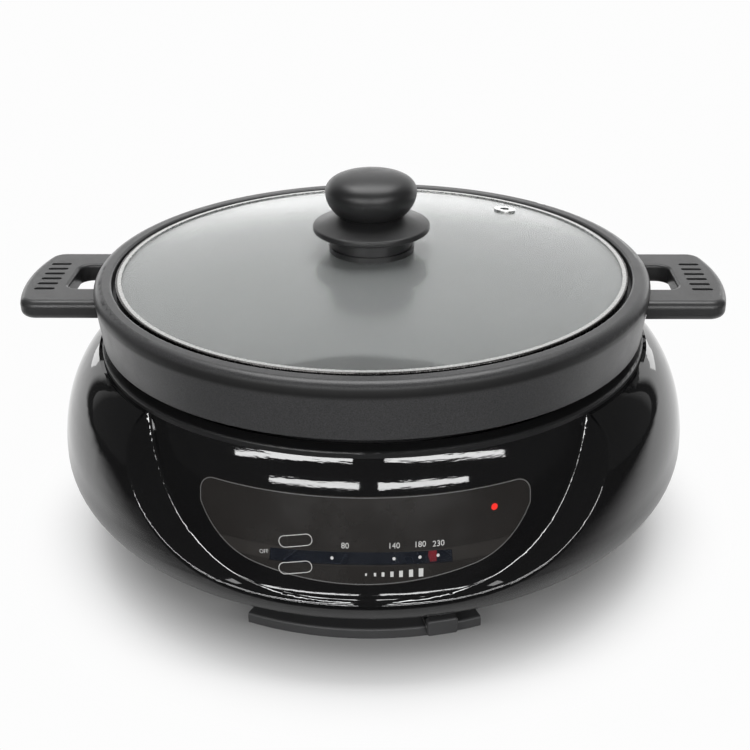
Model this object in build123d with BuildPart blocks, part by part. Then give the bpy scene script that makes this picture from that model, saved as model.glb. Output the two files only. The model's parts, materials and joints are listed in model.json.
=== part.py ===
"""Electric hot plate: a heated base with a lift-out pot and a glass lid.

Millimetres, +Z up, the front faces -Y. The origin is under the middle of the base, on the table.
Angles called "from the front" are seen from above and grow from -Y towards +X.
"""
from build123d import *
import os
from math import cos, radians, sin, sqrt, tan

os.makedirs("parts", exist_ok=True)

# General clearances
seat_gap = 0.3          # between parts that are lifted apart
fit_gap = 0.15          # around a piece let into another
running_gap = 0.05      # radial, on a turning shaft
press_gap = 0.02        # radial, on a shaft that is pressed in

# Casing, a bulbous moulding with a scooped front
belly_radius = 184.5
belly_height = 62.0
upper_bulge = 38.0      # how far the shoulder draws in
upper_overrun = 4.5     # how far the form would go on above and below its cuts
lower_bulge = 70.0
lower_overrun = 8.0
casing_bottom = 22.0
casing_top = 119.5
upper_rise = casing_top - belly_height + upper_overrun
lower_drop = belly_height - casing_bottom + lower_overrun
casing_wall = 2.8
top_lip_setback = 33.0
top_lip_inner_radius = belly_radius - top_lip_setback

# Scoop in the front of the casing
facet_setback = 26.5
facet_top_radius = belly_radius - facet_setback
facet_lean = 17.2       # degrees that the facet leans out towards its foot
scoop_floor_drop = 10.5
scoop_floor = belly_height - scoop_floor_drop
scoop_rise = 60.0
scoop_spread = 44.0     # degrees from the front where the scoop has risen by scoop_rise
scoop_power = 3.2
scoop_wall_slope = 38.0
scoop_overreach = 15.5
scoop_reach = belly_radius + scoop_overreach
scoop_root_depth = 30.0
scoop_root_round = 4.5
scoop_lip_round = 3.0

# Control panel on the facet
panel_thickness = 1.4
panel_top = 101.3
panel_floor_rise = 7.0
panel_floor = scoop_floor + panel_floor_rise
panel_shoulder_half = 83.5
panel_shoulder_height = 88.0
panel_cheek_half = 55.0
panel_cheek_rise = 5.9
panel_cheek_height = panel_floor + panel_cheek_rise
panel_corner = 8.0
window_rise = 7.0
window_low = panel_floor + window_rise
window_height = 9.0
window_high = window_low + window_height
window_start = -19.2
window_end = 15.8
lamp_angle = 22.8
lamp_height = 90.4
lamp_radius = 2.4

# Temperature lever
lever_travel = 28.4
pointer_angle = 11.9
tab_angle = 14.4
tab_width = 16.5
tab_setback = 27.1
tab_inner_radius = belly_radius - tab_setback
tab_thickness = 4.2
tab_corner = 1.6
tab_edge = 1.2
tab_bottom = 13.0
tab_top = 22.6
arm_bottom = 17.2
arm_thickness = 1.6
arm_width = 13.0
arm_hub_radius = 13.0
arm_corner = 0.8
pointer_setback = 17.3
pointer_radius = belly_radius - pointer_setback
pointer_depth = 2.4
pointer_overlap = 1.5
pointer_bottom = window_low - pointer_overlap
pointer_top = window_high + pointer_overlap
pointer_width = 3.2
stalk_setback = 41.0
stalk_radius = belly_radius - stalk_setback
stalk_foot = 9.0
stalk_thickness = 2.6
stalk_bend = 24.0

# Bottom cover
cover_bottom = 3.0
cover_floor = 2.6
cover_foot_setback = 58.5
cover_bottom_radius = belly_radius - cover_foot_setback
cover_setback = 35.5
cover_top_radius = belly_radius - cover_setback
cover_wall = 2.4
cover_edge = 1.8
spigot_bottom = 19.5
spigot_rise = 3.0
spigot_wall = 2.0
spigot_overlap = 1.0
guard_setback = 27.9
guard_radius = belly_radius - guard_setback
guard_bottom = 9.6
guard_top = 16.2
guard_start = -23.8
guard_end = 22.7
guard_edge = 1.4
boss_setback = 66.0
boss_circle = belly_radius - boss_setback
boss_radius = 5.0
boss_bottom = 9.0
boss_top = 46.0
screw_seat_wall = 1.6
rib_thickness = 2.4
rib_margin = 3.0
base_screw_radius = 1.9
base_screw_head_radius = 3.7
base_screw_head = 2.4
base_screw_length = 17.0
foot_setback = 26.0
foot_circle = cover_bottom_radius - foot_setback
foot_radius = 11.0
foot_seat = 1.2
foot_edge = 1.0
base_vent_length = 24.0
base_vent_width = 3.4
base_vent_spread = 20.0
base_vent_count = 16
slot_margin = 3.0       # degrees between the guard's ends and the lever slot's

# Guard ring round the pot well
ring_inner_setback = 35.5
ring_inner_radius = belly_radius - ring_inner_setback
ring_outer_setback = 26.1
ring_outer_radius = belly_radius - ring_outer_setback
ring_proud = 3.5
ring_top = casing_top + ring_proud
ring_flange = 3.5
ring_skirt = 1.9
ring_skirt_drop = 11.5
ring_skirt_bottom = casing_top - ring_skirt_drop

# Heat shield
shield_sheet = 0.8
shield_floor = 47.0
shield_floor_setback = 60.5
shield_floor_radius = belly_radius - shield_floor_setback
shield_rim_setback = 37.7
shield_rim_radius = belly_radius - shield_rim_setback
shield_flange_setback = 33.7
shield_flange_radius = belly_radius - shield_flange_setback
shield_bend = 9.0
shield_flange_bend = 1.5
shield_hole_radius = 9.0
heater_hole_gap = 1.0
post_setback = 18.0
post_radius = 6.0
post_angles = (75.0, 180.0, 285.0)
shield_screw_radius = 2.0
shield_screw_head_radius = 3.8
shield_screw_head = 2.2
shield_screw_length = 12.0

# Heater
heater_setback = 40.0
heater_tube_radius = 3.5
heater_gap_angle = 24.0
heater_leg_bottom = 38.0
heater_bend = 9.0
clip_width = 9.0
clip_sheet = 1.2
clip_angles = (0.0, 120.0, 240.0)
clip_foot = 8.0
rest_angles = (60.0, 180.0, 300.0)
rest_setback = 16.0
rest_width = 14.0
rest_sheet = 1.5
rest_depth = 16.0

# Thermostat
bracket_plate = 25.0
bracket_sheet = 1.5
bracket_half = 23.0
bracket_width = 26.0
bracket_foot = 12.0
thermostat_radius = 17.0
thermostat_height = 14.0
spindle_radius = 3.0
spindle_bottom = 13.0
spindle_top = 31.0
spindle_collar_radius = 5.5
spindle_chamfer = 0.6
thermostat_edge = 1.5
sensor_radius = 10.0
sensor_cap_height = 4.0
sensor_stem_radius = 5.0
sensor_edge = 1.2
circlip_radius = 4.6
circlip_thickness = 0.8

# Pot
pot_floor_under = 85.0
pot_floor = 4.0
pot_floor_setback = 60.5
pot_floor_radius = belly_radius - pot_floor_setback
pot_wall = 3.6
pot_corner = 15.0
pot_depth = 75.3
pot_rim_top = pot_floor_under + pot_depth
pot_rim_setback = 24.5
pot_rim_radius = belly_radius - pot_rim_setback
pot_skirt_setback = 2.8
pot_skirt_radius = pot_rim_radius - pot_skirt_setback
pot_skirt_drop = 31.3
pot_skirt_bottom = pot_rim_top - pot_skirt_drop
pot_skirt_wall = 3.0
pot_web_drop = 10.8
pot_web_height = pot_rim_top - pot_web_drop
ledge_width = 5.2
rim_crown = 6.0
rim_round = 5.2
rim_inner_round = 1.6

# Lid
lid_setback = 12.5
lid_ring_radius = pot_rim_radius - lid_setback
lid_ring_sheet = 0.8
lid_ring_lip = 3.4
lid_ring_hem = 1.0
lid_ring_rise = 0.96
lid_gap = 2.0
glass_setback = 1.3
glass_radius = lid_ring_radius - glass_setback
glass_thickness = 4.0
glass_edge_round = 0.8
glass_drop = 1.3
glass_edge_top = pot_rim_top - glass_drop
glass_rise = 10.0
glass_crown = glass_edge_top + glass_rise
vent_radius = 3.0
vent_flange_radius = 7.0
vent_flange = 0.9
vent_wall = 1.0
vent_lip = 1.2
vent_setback = 21.2
vent_circle = glass_radius - vent_setback
vent_angle = 138.0
lid_hole_radius = 4.2

# Knob
pedestal_radius = 24.6
pedestal_step = 1.2
pedestal_step_rise = 3.1
flange_edge_round = 1.2
pedestal_rise = 9.0
pedestal_top = glass_crown + pedestal_rise
flange_radius = 33.7
flange_rise = 3.2
flange_edge = pedestal_top + flange_rise
flange_edge_height = 3.4
flange_waist_radius = 19.0
waist_rise = 9.3
flange_waist_height = flange_edge + waist_rise
knob_radius = 26.2
knob_foot = flange_waist_height
knob_widest_rise = 12.5
knob_widest = knob_foot + knob_widest_rise
knob_rise = 24.5
knob_top = knob_foot + knob_rise
knob_foot_radius = 18.5
knob_screw_radius = 2.5
knob_screw_head_radius = 5.0
knob_screw_head = 3.0
knob_screw_space = 1.0
knob_screw_depth = 11.0
knob_screw_top = knob_top - knob_screw_depth
washer_radius = 11.0
washer_thickness = 1.2

# Pot handles
handle_overreach = 19.0
handle_tip = belly_radius + handle_overreach
handle_half = 40.5
handle_tip_arc = 130.0
handle_corner = 10.0
handle_drop = 8.3
handle_top = pot_rim_top - handle_drop
handle_thickness = 11.0
grip_setback = 8.5
grip_inner = belly_radius - grip_setback
grip_half = 19.0
grip_corner = 7.0
handle_edge_round = 4.0
groove_count = 6
groove_pitch = 7.9
groove_width = 3.2
groove_depth = 1.3
groove_margin = 6.5
groove_start = grip_inner + groove_margin
groove_end_margin = 9.0
groove_end = handle_tip - groove_end_margin
ear_margin = 3.0
ear_reach = grip_inner - ear_margin
ear_width = 13.0
ear_thickness = 3.5
ear_space = 0.3
ear_corner = 4.0
handle_screw_radius = 2.2
handle_screw_head_radius = 4.2
handle_screw_head = 2.2
handle_screw_reach = 3.4
handle_screw_space = 0.5
handle_screw_setback = 10.5
handle_screw_place = grip_inner - handle_screw_setback

# Side grips
side_grip_half = 36.0
side_grip_low = 32.0
side_grip_high = 67.0
side_grip_mouth = 0.42      # share of the height that the pocket's mouth takes
side_grip_corner = 9.0
side_grip_depth = 19.0
side_grip_wall = 2.2
side_grip_proud = 1.8
side_grip_lip = 9.0

# Appliance inlet in the rear
inlet_half = 26.0
inlet_low = 34.0
inlet_high = 58.0
inlet_wall = 2.4
inlet_setback = 3.5
inlet_face = belly_radius - inlet_setback
inlet_depth = 17.0
inlet_body_depth = 30.0
inlet_corner = 4.0
pin_radius = 2.0
pin_tail_radius = 1.5
pin_tip_round = 1.2
pin_spacing = 19.0
pin_length = 11.0
pin_tail = 8.0
keeper_width = 5.0
keeper_height = 12.0
keeper_thickness = 2.0
keeper_gap = 1.0

# Wiring inside the base
wire_radius = 1.5
wire_drop = 5.0
wire_height = shield_floor - wire_drop
fuse_radius = 3.0
fuse_length = 20.0
fuse_lead = 10.0
fuse_chamfer = 0.8
wire_dip = 3.5

# Values worked out from the ones above
facet_slope = tan(radians(facet_lean))
heater_circle = pot_floor_radius - heater_setback
rest_circle = pot_floor_radius - rest_setback
post_circle = heater_circle - post_setback
base_vent_circles = (post_circle - base_vent_spread, post_circle + base_vent_spread)
lid_ring_bottom = glass_edge_top - glass_thickness - lid_ring_sheet
ledge_height = lid_ring_bottom - seat_gap
ledge_radius = lid_ring_radius + lid_gap
pot_inside_top_radius = ledge_radius - ledge_width
pot_support = pot_floor_under - seat_gap
heater_height = pot_support - heater_tube_radius
shield_upper = shield_floor + shield_sheet
handle_bottom = handle_top - handle_thickness
ear_bottom = handle_bottom + handle_screw_head
ear_top = ear_bottom + ear_thickness
ear_middle = (grip_half + handle_half) / 2
arm_top = arm_bottom + arm_thickness
diagonals = (45.0, 135.0, 225.0, 315.0)
inlet_middle = (inlet_low + inlet_high) / 2


def from_front(radius, angle):
    """Place at this radius, this many degrees from the front."""
    return (radius * sin(radians(angle)), -radius * cos(radians(angle)))


def radial_plane(angle):
    """Upright plane through the Z axis: its x points outward at this angle from the front."""
    outward = Vector(*from_front(1, angle), 0)
    return Plane(origin=(0, 0, 0), x_dir=outward, z_dir=outward.cross(Vector(0, 0, 1)))


def facet_radius(height):
    """Radius of the scooped facet at a height."""
    return facet_top_radius + (casing_top - height) * facet_slope


def scoop_edge(angle):
    """Height of the scoop's edge at an angle from the front."""
    return scoop_floor + scoop_rise * (abs(angle) / scoop_spread) ** scoop_power


def save(piece, name):
    """Label a finished piece and write it."""
    piece.part.label = name
    export_step(piece.part, f"parts/{name}.step")


def heater_leg(side):
    """Place of the heater's leg on one side of the gap at the rear."""
    angle = 180 + side * heater_gap_angle / 2
    coil_end = Vector(*from_front(heater_circle, angle))
    leg = coil_end + Vector(*from_front(heater_bend, angle - side * 90))
    return (leg.X, leg.Y)


def turned(profile, bottom, top):
    """A solid of revolution from its radius at two heights."""
    with BuildPart() as form:
        with BuildSketch(Plane.XZ):
            Polygon((0, bottom), (profile(bottom), bottom), (profile(top), top), (0, top), align=None)
        revolve(axis=Axis.Z)
    return form.part


def belly(inset, bottom, top):
    """The bulbous outline turned about Z, moved inward by inset and cut at two heights."""
    upper_centre = belly_radius - upper_bulge
    lower_centre = belly_radius - lower_bulge
    with BuildPart() as form:
        with BuildSketch(Plane.XZ):
            with BuildLine():
                EllipticalCenterArc((lower_centre, belly_height), lower_bulge - inset,
                                    lower_drop - inset, start_angle=270, arc_size=90)
                EllipticalCenterArc((upper_centre, belly_height), upper_bulge - inset,
                                    upper_rise - inset, start_angle=0, arc_size=90)
                Polyline((upper_centre, belly_height + upper_rise - inset),
                         (0, belly_height + upper_rise - inset),
                         (0, belly_height - lower_drop + inset),
                         (lower_centre, belly_height - lower_drop + inset))
            make_face()
            with Locations((0, (bottom + top) / 2)):
                Rectangle(2 * belly_radius, top - bottom, mode=Mode.INTERSECT)
        revolve(axis=Axis.Z)
    return form.part


def scoop(inset):
    """What the scoop takes from the casing's form, with its facet and walls moved inward by inset."""
    overshoot = scoop_spread * 1.05
    angles = [overshoot * step / 4 for step in range(-4, 5)]
    with BuildPart() as tool:
        for angle in angles:
            with BuildSketch(radial_plane(angle)):
                height = scoop_edge(angle) - inset / cos(radians(scoop_wall_slope))
                drop = (scoop_reach - facet_radius(height)) * sin(radians(scoop_wall_slope))
                root = facet_radius(height) - scoop_root_depth
                with BuildLine():
                    Polyline((root, height + scoop_root_depth / 2), (scoop_reach, height - drop),
                             (scoop_reach, casing_top + scoop_rise), (root, casing_top + scoop_rise),
                             (root, height + scoop_root_depth / 2))
                make_face()
        loft()
        add(turned(lambda z: facet_radius(z) - inset, 0, casing_top + 2 * scoop_rise),
            mode=Mode.SUBTRACT)
    return tool.part


def panel_outline(grow):
    """Outline of the control panel, in the upright plane that faces the front."""
    with BuildSketch() as outline:
        with BuildLine():
            foot = ThreePointArc((-panel_cheek_half, panel_cheek_height), (0, panel_floor),
                                 (panel_cheek_half, panel_cheek_height))
            cheek = TangentArc(foot @ 1, (panel_shoulder_half, panel_shoulder_height), tangent=foot % 1)
            Polyline(cheek @ 1, (panel_shoulder_half, panel_top), (-panel_shoulder_half, panel_top),
                     (-panel_shoulder_half, panel_shoulder_height))
            TangentArc(foot @ 0, (-panel_shoulder_half, panel_shoulder_height), tangent=-(foot % 0))
        make_face()
        fillet(outline.vertices().group_by(Axis.Y)[-1], panel_corner)
        if grow:
            offset(amount=grow)
    return outline.sketch


def belly_at(height, inset):
    """Radius of the bulbous outline at a height, moved inward by inset."""
    bulge, rise = upper_bulge, upper_rise
    if height < belly_height:
        bulge, rise = lower_bulge, lower_drop
    share = (height - belly_height) / (rise - inset)
    return belly_radius - bulge + (bulge - inset) * sqrt(1 - share ** 2)


def block(plane, outline, amount):
    """A prism of this outline, by this amount along the plane's normal."""
    with BuildPart() as form:
        with BuildSketch(plane):
            add(outline)
        extrude(amount=amount)
    return form.part


# Forms that several pieces share
casing_outside = belly(0, casing_bottom, casing_top)
casing_inside = belly(casing_wall, casing_bottom, casing_top - casing_wall)
mouth_radius = belly_at(casing_bottom, casing_wall)
facet_form = turned(facet_radius, 0, casing_top)
pocket_form = turned(lambda z: facet_radius(z) - panel_thickness - fit_gap / 2, 0, casing_top)
panel_back_form = turned(lambda z: facet_radius(z) - panel_thickness, 0, casing_top)
panel_prism = block(Plane.XZ, panel_outline(0), scoop_reach)
pocket_prism = block(Plane.XZ, panel_outline(fit_gap), scoop_reach)
grip_middle = (side_grip_low + side_grip_high) / 2
grip_height = side_grip_high - side_grip_low
side_plane = Plane(origin=(0, 0, grip_middle), x_dir=(0, 1, 0), z_dir=(1, 0, 0))
grip_back = belly_radius - side_grip_depth
rear_plane = Plane(origin=(0, 0, inlet_middle), x_dir=(-1, 0, 0), z_dir=(0, 1, 0))
lamp_point = from_front(facet_radius(lamp_height), lamp_angle)
lamp_outward = from_front(cos(radians(facet_lean)), lamp_angle)
lamp_plane = Plane(origin=(*lamp_point, lamp_height), z_dir=(*lamp_outward, sin(radians(facet_lean))))

with BuildPart() as casing_form:
    add(casing_outside)
    add(scoop(0), mode=Mode.SUBTRACT)
    scoop_wall = casing_form.faces().filter_by(GeomType.BSPLINE)[0]
    facet = casing_form.faces().filter_by(GeomType.CONE)[0]
    root_edges = [edge for edge in scoop_wall.edges() if any(edge.is_same(other) for other in facet.edges())]
    lip_middles = [edge.center() for edge in scoop_wall.edges()
                   if edge not in root_edges and edge.center().Z < casing_top - casing_wall]
    fillet(root_edges, scoop_root_round)
    fillet(casing_form.edges().filter_by(
        lambda edge: min((edge.center() - middle).length for middle in lip_middles) < 1), scoop_lip_round)

with BuildPart() as hollow:
    add(casing_inside)
    add(scoop(casing_wall), mode=Mode.SUBTRACT)

with BuildPart() as pocket:
    add(pocket_prism)
    add(pocket_form, mode=Mode.SUBTRACT)

with BuildPart() as window:
    with BuildSketch(radial_plane(window_start)):
        with Locations((scoop_reach / 2, (window_low + window_high) / 2)):
            Rectangle(scoop_reach, window_high - window_low)
    revolve(axis=Axis.Z, revolution_arc=window_end - window_start)

rib_bottom = casing_bottom + 2 * rib_margin
with BuildPart() as ribs:
    for angle in diagonals:
        with BuildSketch(radial_plane(angle)):
            with Locations(((boss_circle + belly_radius) / 2, (rib_bottom + boss_top) / 2)):
                Rectangle(belly_radius - boss_circle, boss_top - rib_bottom)
        extrude(amount=rib_thickness / 2, both=True)
    add(belly(casing_wall / 2, casing_bottom, casing_top), mode=Mode.INTERSECT)

# Casing
with BuildPart() as casing:
    add(casing_form.part)
    add(hollow.part, mode=Mode.SUBTRACT)
    with BuildSketch(Plane.XY.offset(casing_top)):
        Circle(top_lip_inner_radius)
    extrude(amount=-2 * casing_wall, mode=Mode.SUBTRACT)
    add(pocket.part, mode=Mode.SUBTRACT)
    add(window.part, mode=Mode.SUBTRACT)
    add(ribs.part)
    with BuildSketch(Plane.XY.offset(boss_bottom)):
        with PolarLocations(boss_circle, len(diagonals), start_angle=diagonals[0]):
            Circle(boss_radius)
            Circle(base_screw_radius + running_gap, mode=Mode.SUBTRACT)
    extrude(amount=boss_top - boss_bottom)
    for side in (side_plane, Plane(origin=side_plane.origin, x_dir=(0, -1, 0), z_dir=(-1, 0, 0))):
        with BuildSketch(side.offset(grip_back)):
            RectangleRounded(2 * side_grip_half, grip_height, side_grip_corner)
        extrude(amount=2 * side_grip_depth, mode=Mode.SUBTRACT)
    with BuildSketch(rear_plane.offset(inlet_face - inlet_body_depth)):
        RectangleRounded(2 * inlet_half, inlet_high - inlet_low, inlet_corner)
    extrude(amount=2 * inlet_body_depth, mode=Mode.SUBTRACT)
    with BuildSketch(lamp_plane):
        Circle(lamp_radius + fit_gap)
    extrude(amount=-3 * casing_wall, mode=Mode.SUBTRACT)
save(casing, "casing")

# Control panel, a smoked strip of the facet's cone
with BuildPart() as control_panel:
    add(panel_prism)
    add(facet_form, mode=Mode.INTERSECT)
    add(panel_back_form, mode=Mode.SUBTRACT)
save(control_panel, "control_panel")

# Heating lamp behind the panel
lamp_length = 3 * casing_wall
with BuildPart() as lamp_lens:
    with BuildSketch(lamp_plane.offset(-panel_thickness - fit_gap)):
        Circle(lamp_radius)
    extrude(amount=-lamp_length)
save(lamp_lens, "lamp_lens")

with BuildPart() as lamp_holder:
    with BuildSketch(lamp_plane.offset(-2 * casing_wall)):
        Circle(2 * lamp_radius)
        Circle(lamp_radius + running_gap, mode=Mode.SUBTRACT)
    extrude(amount=-lamp_length)
    with BuildSketch(lamp_plane.offset(-2 * casing_wall - lamp_length)):
        Circle(2 * lamp_radius)
    extrude(amount=-casing_wall)
save(lamp_holder, "lamp_holder")

# Side grips, let into the casing: a proud lip over a finger pocket
lip_back = belly_radius - side_grip_lip
pocket_half = side_grip_half - side_grip_wall
mouth_top = side_grip_low + side_grip_mouth * grip_height
with BuildPart() as side_grip_right:
    with BuildSketch(side_plane.offset(grip_back)):
        RectangleRounded(2 * (side_grip_half - fit_gap), grip_height - 2 * fit_gap,
                         side_grip_corner - fit_gap)
    extrude(amount=2 * side_grip_depth)
    add(belly(-side_grip_proud, casing_bottom, casing_top), mode=Mode.INTERSECT)
    with BuildSketch(Plane.XZ) as finger_pocket:
        with BuildLine():
            Polyline((grip_back + side_grip_wall, side_grip_low + side_grip_wall),
                     (scoop_reach, side_grip_low + side_grip_wall), (scoop_reach, mouth_top),
                     (lip_back, mouth_top), (lip_back, side_grip_high - side_grip_wall),
                     (grip_back + side_grip_wall, side_grip_high - side_grip_wall), close=True)
        make_face()
    extrude(amount=pocket_half, both=True, mode=Mode.SUBTRACT)
save(side_grip_right, "side_grip_right")

with BuildPart() as side_grip_left:
    add(mirror(side_grip_right.part, about=Plane.YZ))
save(side_grip_left, "side_grip_left")

# Guard ring that closes the gap round the pot well
with BuildPart() as guard_ring:
    with BuildSketch(Plane.XZ) as ring_section:
        with BuildLine():
            Polyline((ring_inner_radius, ring_skirt_bottom),
                     (ring_inner_radius + ring_skirt, ring_skirt_bottom),
                     (ring_inner_radius + ring_skirt, ring_top - ring_flange),
                     (ring_outer_radius, ring_top - ring_flange),
                     (ring_outer_radius, ring_top), (ring_inner_radius, ring_top), close=True)
        make_face()
        fillet(ring_section.vertices().group_by(Axis.Y)[-1], ring_flange / 3)
    revolve(axis=Axis.Z)
save(guard_ring, "guard_ring")

# Heat shield, a pressed dish hung under the guard ring and screwed to the cover's posts
with BuildPart() as heat_shield:
    with BuildSketch(Plane.XZ):
        with BuildLine():
            FilletPolyline((shield_hole_radius, shield_floor + shield_sheet / 2),
                           (shield_floor_radius, shield_floor + shield_sheet / 2),
                           (shield_rim_radius, ring_skirt_bottom - shield_sheet / 2),
                           (shield_flange_radius, ring_skirt_bottom - shield_sheet / 2),
                           radius=(shield_bend, shield_flange_bend))
        trace(line_width=shield_sheet)
    revolve(axis=Axis.Z)
    with BuildSketch(Plane.XY.offset(shield_floor)):
        for angle in post_angles:
            with Locations(from_front(post_circle, angle)):
                Circle(shield_screw_radius + fit_gap)
        for side in (-1, 1):
            with Locations(heater_leg(side)):
                Circle(heater_tube_radius + heater_hole_gap)
        with Locations((bracket_half + bracket_foot / 2, 0), (-bracket_half - bracket_foot / 2, 0)):
            Circle(shield_screw_radius + fit_gap)
    extrude(amount=shield_sheet, mode=Mode.SUBTRACT)
save(heat_shield, "heat_shield")


def pan_head_screws(places, seat, head, direction, head_radius, radius, length):
    """Screws with a socket head on a seat height; direction is -1 for heads that lie below it."""
    with BuildPart() as screws:
        with BuildSketch(Plane.XY.offset(seat)):
            with Locations(*places):
                Circle(head_radius)
        extrude(amount=direction * head)
        with BuildSketch(Plane.XY.offset(seat + direction * head)):
            with Locations(*places):
                Rectangle(1.4 * radius, 1.4 * radius, rotation=45)
        extrude(amount=-direction * head / 2, mode=Mode.SUBTRACT)
        with BuildSketch(Plane.XY.offset(seat)):
            with Locations(*places):
                Circle(radius)
        extrude(amount=-direction * length)
    return screws


shield_screws = pan_head_screws([from_front(post_circle, angle) for angle in post_angles],
                                shield_upper, shield_screw_head, 1, shield_screw_head_radius,
                                shield_screw_radius, shield_screw_length)
save(shield_screws, "shield_screws")

# Sheathed heater, one turn with both ends bent down through the shield
with BuildPart() as sheath_heater:
    with BuildLine():
        coil = CenterArc((0, 0, heater_height), heater_circle, 90 + heater_gap_angle / 2,
                         360 - heater_gap_angle)
        for end, side in ((0, 1), (1, -1)):
            leg_top = Vector(*heater_leg(side), heater_height - heater_bend)
            TangentArc(coil @ end, leg_top, tangent=(coil % end) * -side)
            Line(leg_top, (*heater_leg(side), heater_leg_bottom))
    with BuildSketch(Plane(origin=coil @ 0.5, z_dir=coil % 0.5)):
        Circle(heater_tube_radius)
    sweep()
save(sheath_heater, "sheath_heater")


def bent_strip(points, radius, sheet, width, angles):
    """A strip bent along a route in an upright radial plane, repeated at angles from the front."""
    with BuildPart() as strips:
        for angle in angles:
            with BuildSketch(radial_plane(angle)):
                with BuildLine():
                    FilletPolyline(*points, radius=radius)
                trace(line_width=sheet)
            extrude(amount=width / 2, both=True)
    return strips


clip_inner = heater_circle - heater_tube_radius - clip_sheet / 2 - running_gap
clip_outer = heater_circle + heater_tube_radius + clip_sheet / 2 + running_gap
clip_foot_height = shield_upper + clip_sheet / 2
clip_cradle = heater_height - heater_tube_radius - clip_sheet / 2
heater_clips = bent_strip([(clip_inner - clip_foot, clip_foot_height), (clip_inner, clip_foot_height),
                           (clip_inner, clip_cradle), (clip_outer, clip_cradle),
                           (clip_outer, heater_height)], clip_sheet, clip_sheet, clip_width, clip_angles)
save(heater_clips, "heater_clips")

rest_foot_height = shield_upper + rest_sheet / 2
pot_rests = bent_strip([(rest_circle - rest_depth, rest_foot_height), (rest_circle, rest_foot_height),
                        (rest_circle, pot_support - rest_sheet / 2),
                        (rest_circle - rest_depth / 2, pot_support - rest_sheet / 2)],
                       2 * rest_sheet, rest_sheet, rest_width, rest_angles)
save(pot_rests, "pot_rests")

# Thermostat under the shield, on its bracket, with the sensor that touches the pot
bracket_route = [(-bracket_half - bracket_foot, shield_floor - bracket_sheet / 2),
                 (-bracket_half, shield_floor - bracket_sheet / 2),
                 (-bracket_half, bracket_plate + bracket_sheet / 2),
                 (bracket_half, bracket_plate + bracket_sheet / 2),
                 (bracket_half, shield_floor - bracket_sheet / 2),
                 (bracket_half + bracket_foot, shield_floor - bracket_sheet / 2)]
with BuildPart() as thermostat_bracket:
    with BuildSketch(Plane.XZ):
        with BuildLine():
            FilletPolyline(*bracket_route, radius=2 * bracket_sheet)
        trace(line_width=bracket_sheet)
    extrude(amount=bracket_width / 2, both=True)
    with BuildSketch(Plane.XY.offset(bracket_plate)):
        Circle(spindle_radius + running_gap)
    extrude(amount=bracket_sheet, mode=Mode.SUBTRACT)
    with BuildSketch(Plane.XY.offset(shield_floor)):
        with Locations((bracket_half + bracket_foot / 2, 0), (-bracket_half - bracket_foot / 2, 0)):
            Circle(shield_screw_radius)
    extrude(amount=-bracket_sheet, mode=Mode.SUBTRACT)
save(thermostat_bracket, "thermostat_bracket")

bracket_screws = pan_head_screws([(bracket_half + bracket_foot / 2, 0),
                                  (-bracket_half - bracket_foot / 2, 0)],
                                 shield_upper, shield_screw_head, 1, shield_screw_head_radius,
                                 shield_screw_radius - running_gap, 3 * bracket_sheet)
save(bracket_screws, "bracket_screws")

thermostat_bottom = bracket_plate + bracket_sheet
with BuildPart() as thermostat:
    with BuildSketch(Plane.XY.offset(thermostat_bottom)):
        Circle(thermostat_radius)
    extrude(amount=thermostat_height)
    fillet(thermostat.edges().group_by(Axis.Z)[-1], thermostat_edge)
    with BuildSketch(Plane.XY.offset(thermostat_bottom)):
        Circle(spindle_radius + seat_gap)
    extrude(amount=spindle_top - thermostat_bottom + seat_gap, mode=Mode.SUBTRACT)
save(thermostat, "thermostat")

sensor_foot = thermostat_bottom + thermostat_height
with BuildPart() as pot_sensor:
    with BuildSketch(Plane.XZ) as sensor_section:
        with BuildLine():
            Polyline((0, sensor_foot), (sensor_stem_radius, sensor_foot),
                     (sensor_stem_radius, pot_support - sensor_cap_height),
                     (sensor_radius, pot_support - sensor_cap_height),
                     (sensor_radius, pot_support), (0, pot_support), close=True)
        make_face()
        fillet(sensor_section.vertices().group_by(Axis.X)[-1], sensor_edge)
    revolve(axis=Axis.Z)
save(pot_sensor, "pot_sensor")

# Bottom cover with its vents, posts, screw seats and the guard under the lever slot
seat_radius = boss_radius + screw_seat_wall
screw_seat = boss_bottom - base_screw_head
slot_start = guard_start + slot_margin
slot_end = guard_end - slot_margin
with BuildPart() as guard:
    with BuildSketch(radial_plane(guard_start)) as guard_section:
        with BuildLine():
            Polyline((cover_bottom_radius, guard_bottom), (guard_radius, guard_bottom),
                     (guard_radius, guard_top), (cover_bottom_radius, guard_top), close=True)
        make_face()
        fillet(guard_section.vertices().group_by(Axis.X)[-1], guard_edge)
    revolve(axis=Axis.Z, revolution_arc=guard_end - guard_start)

with BuildPart() as lever_slot:
    with BuildSketch(radial_plane(slot_start)):
        with Locations(((boss_circle + scoop_reach) / 2, (guard_top + casing_bottom) / 2 + spigot_rise)):
            Rectangle(scoop_reach - boss_circle, casing_bottom - guard_top + 2 * spigot_rise)
    revolve(axis=Axis.Z, revolution_arc=slot_end - slot_start)

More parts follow.
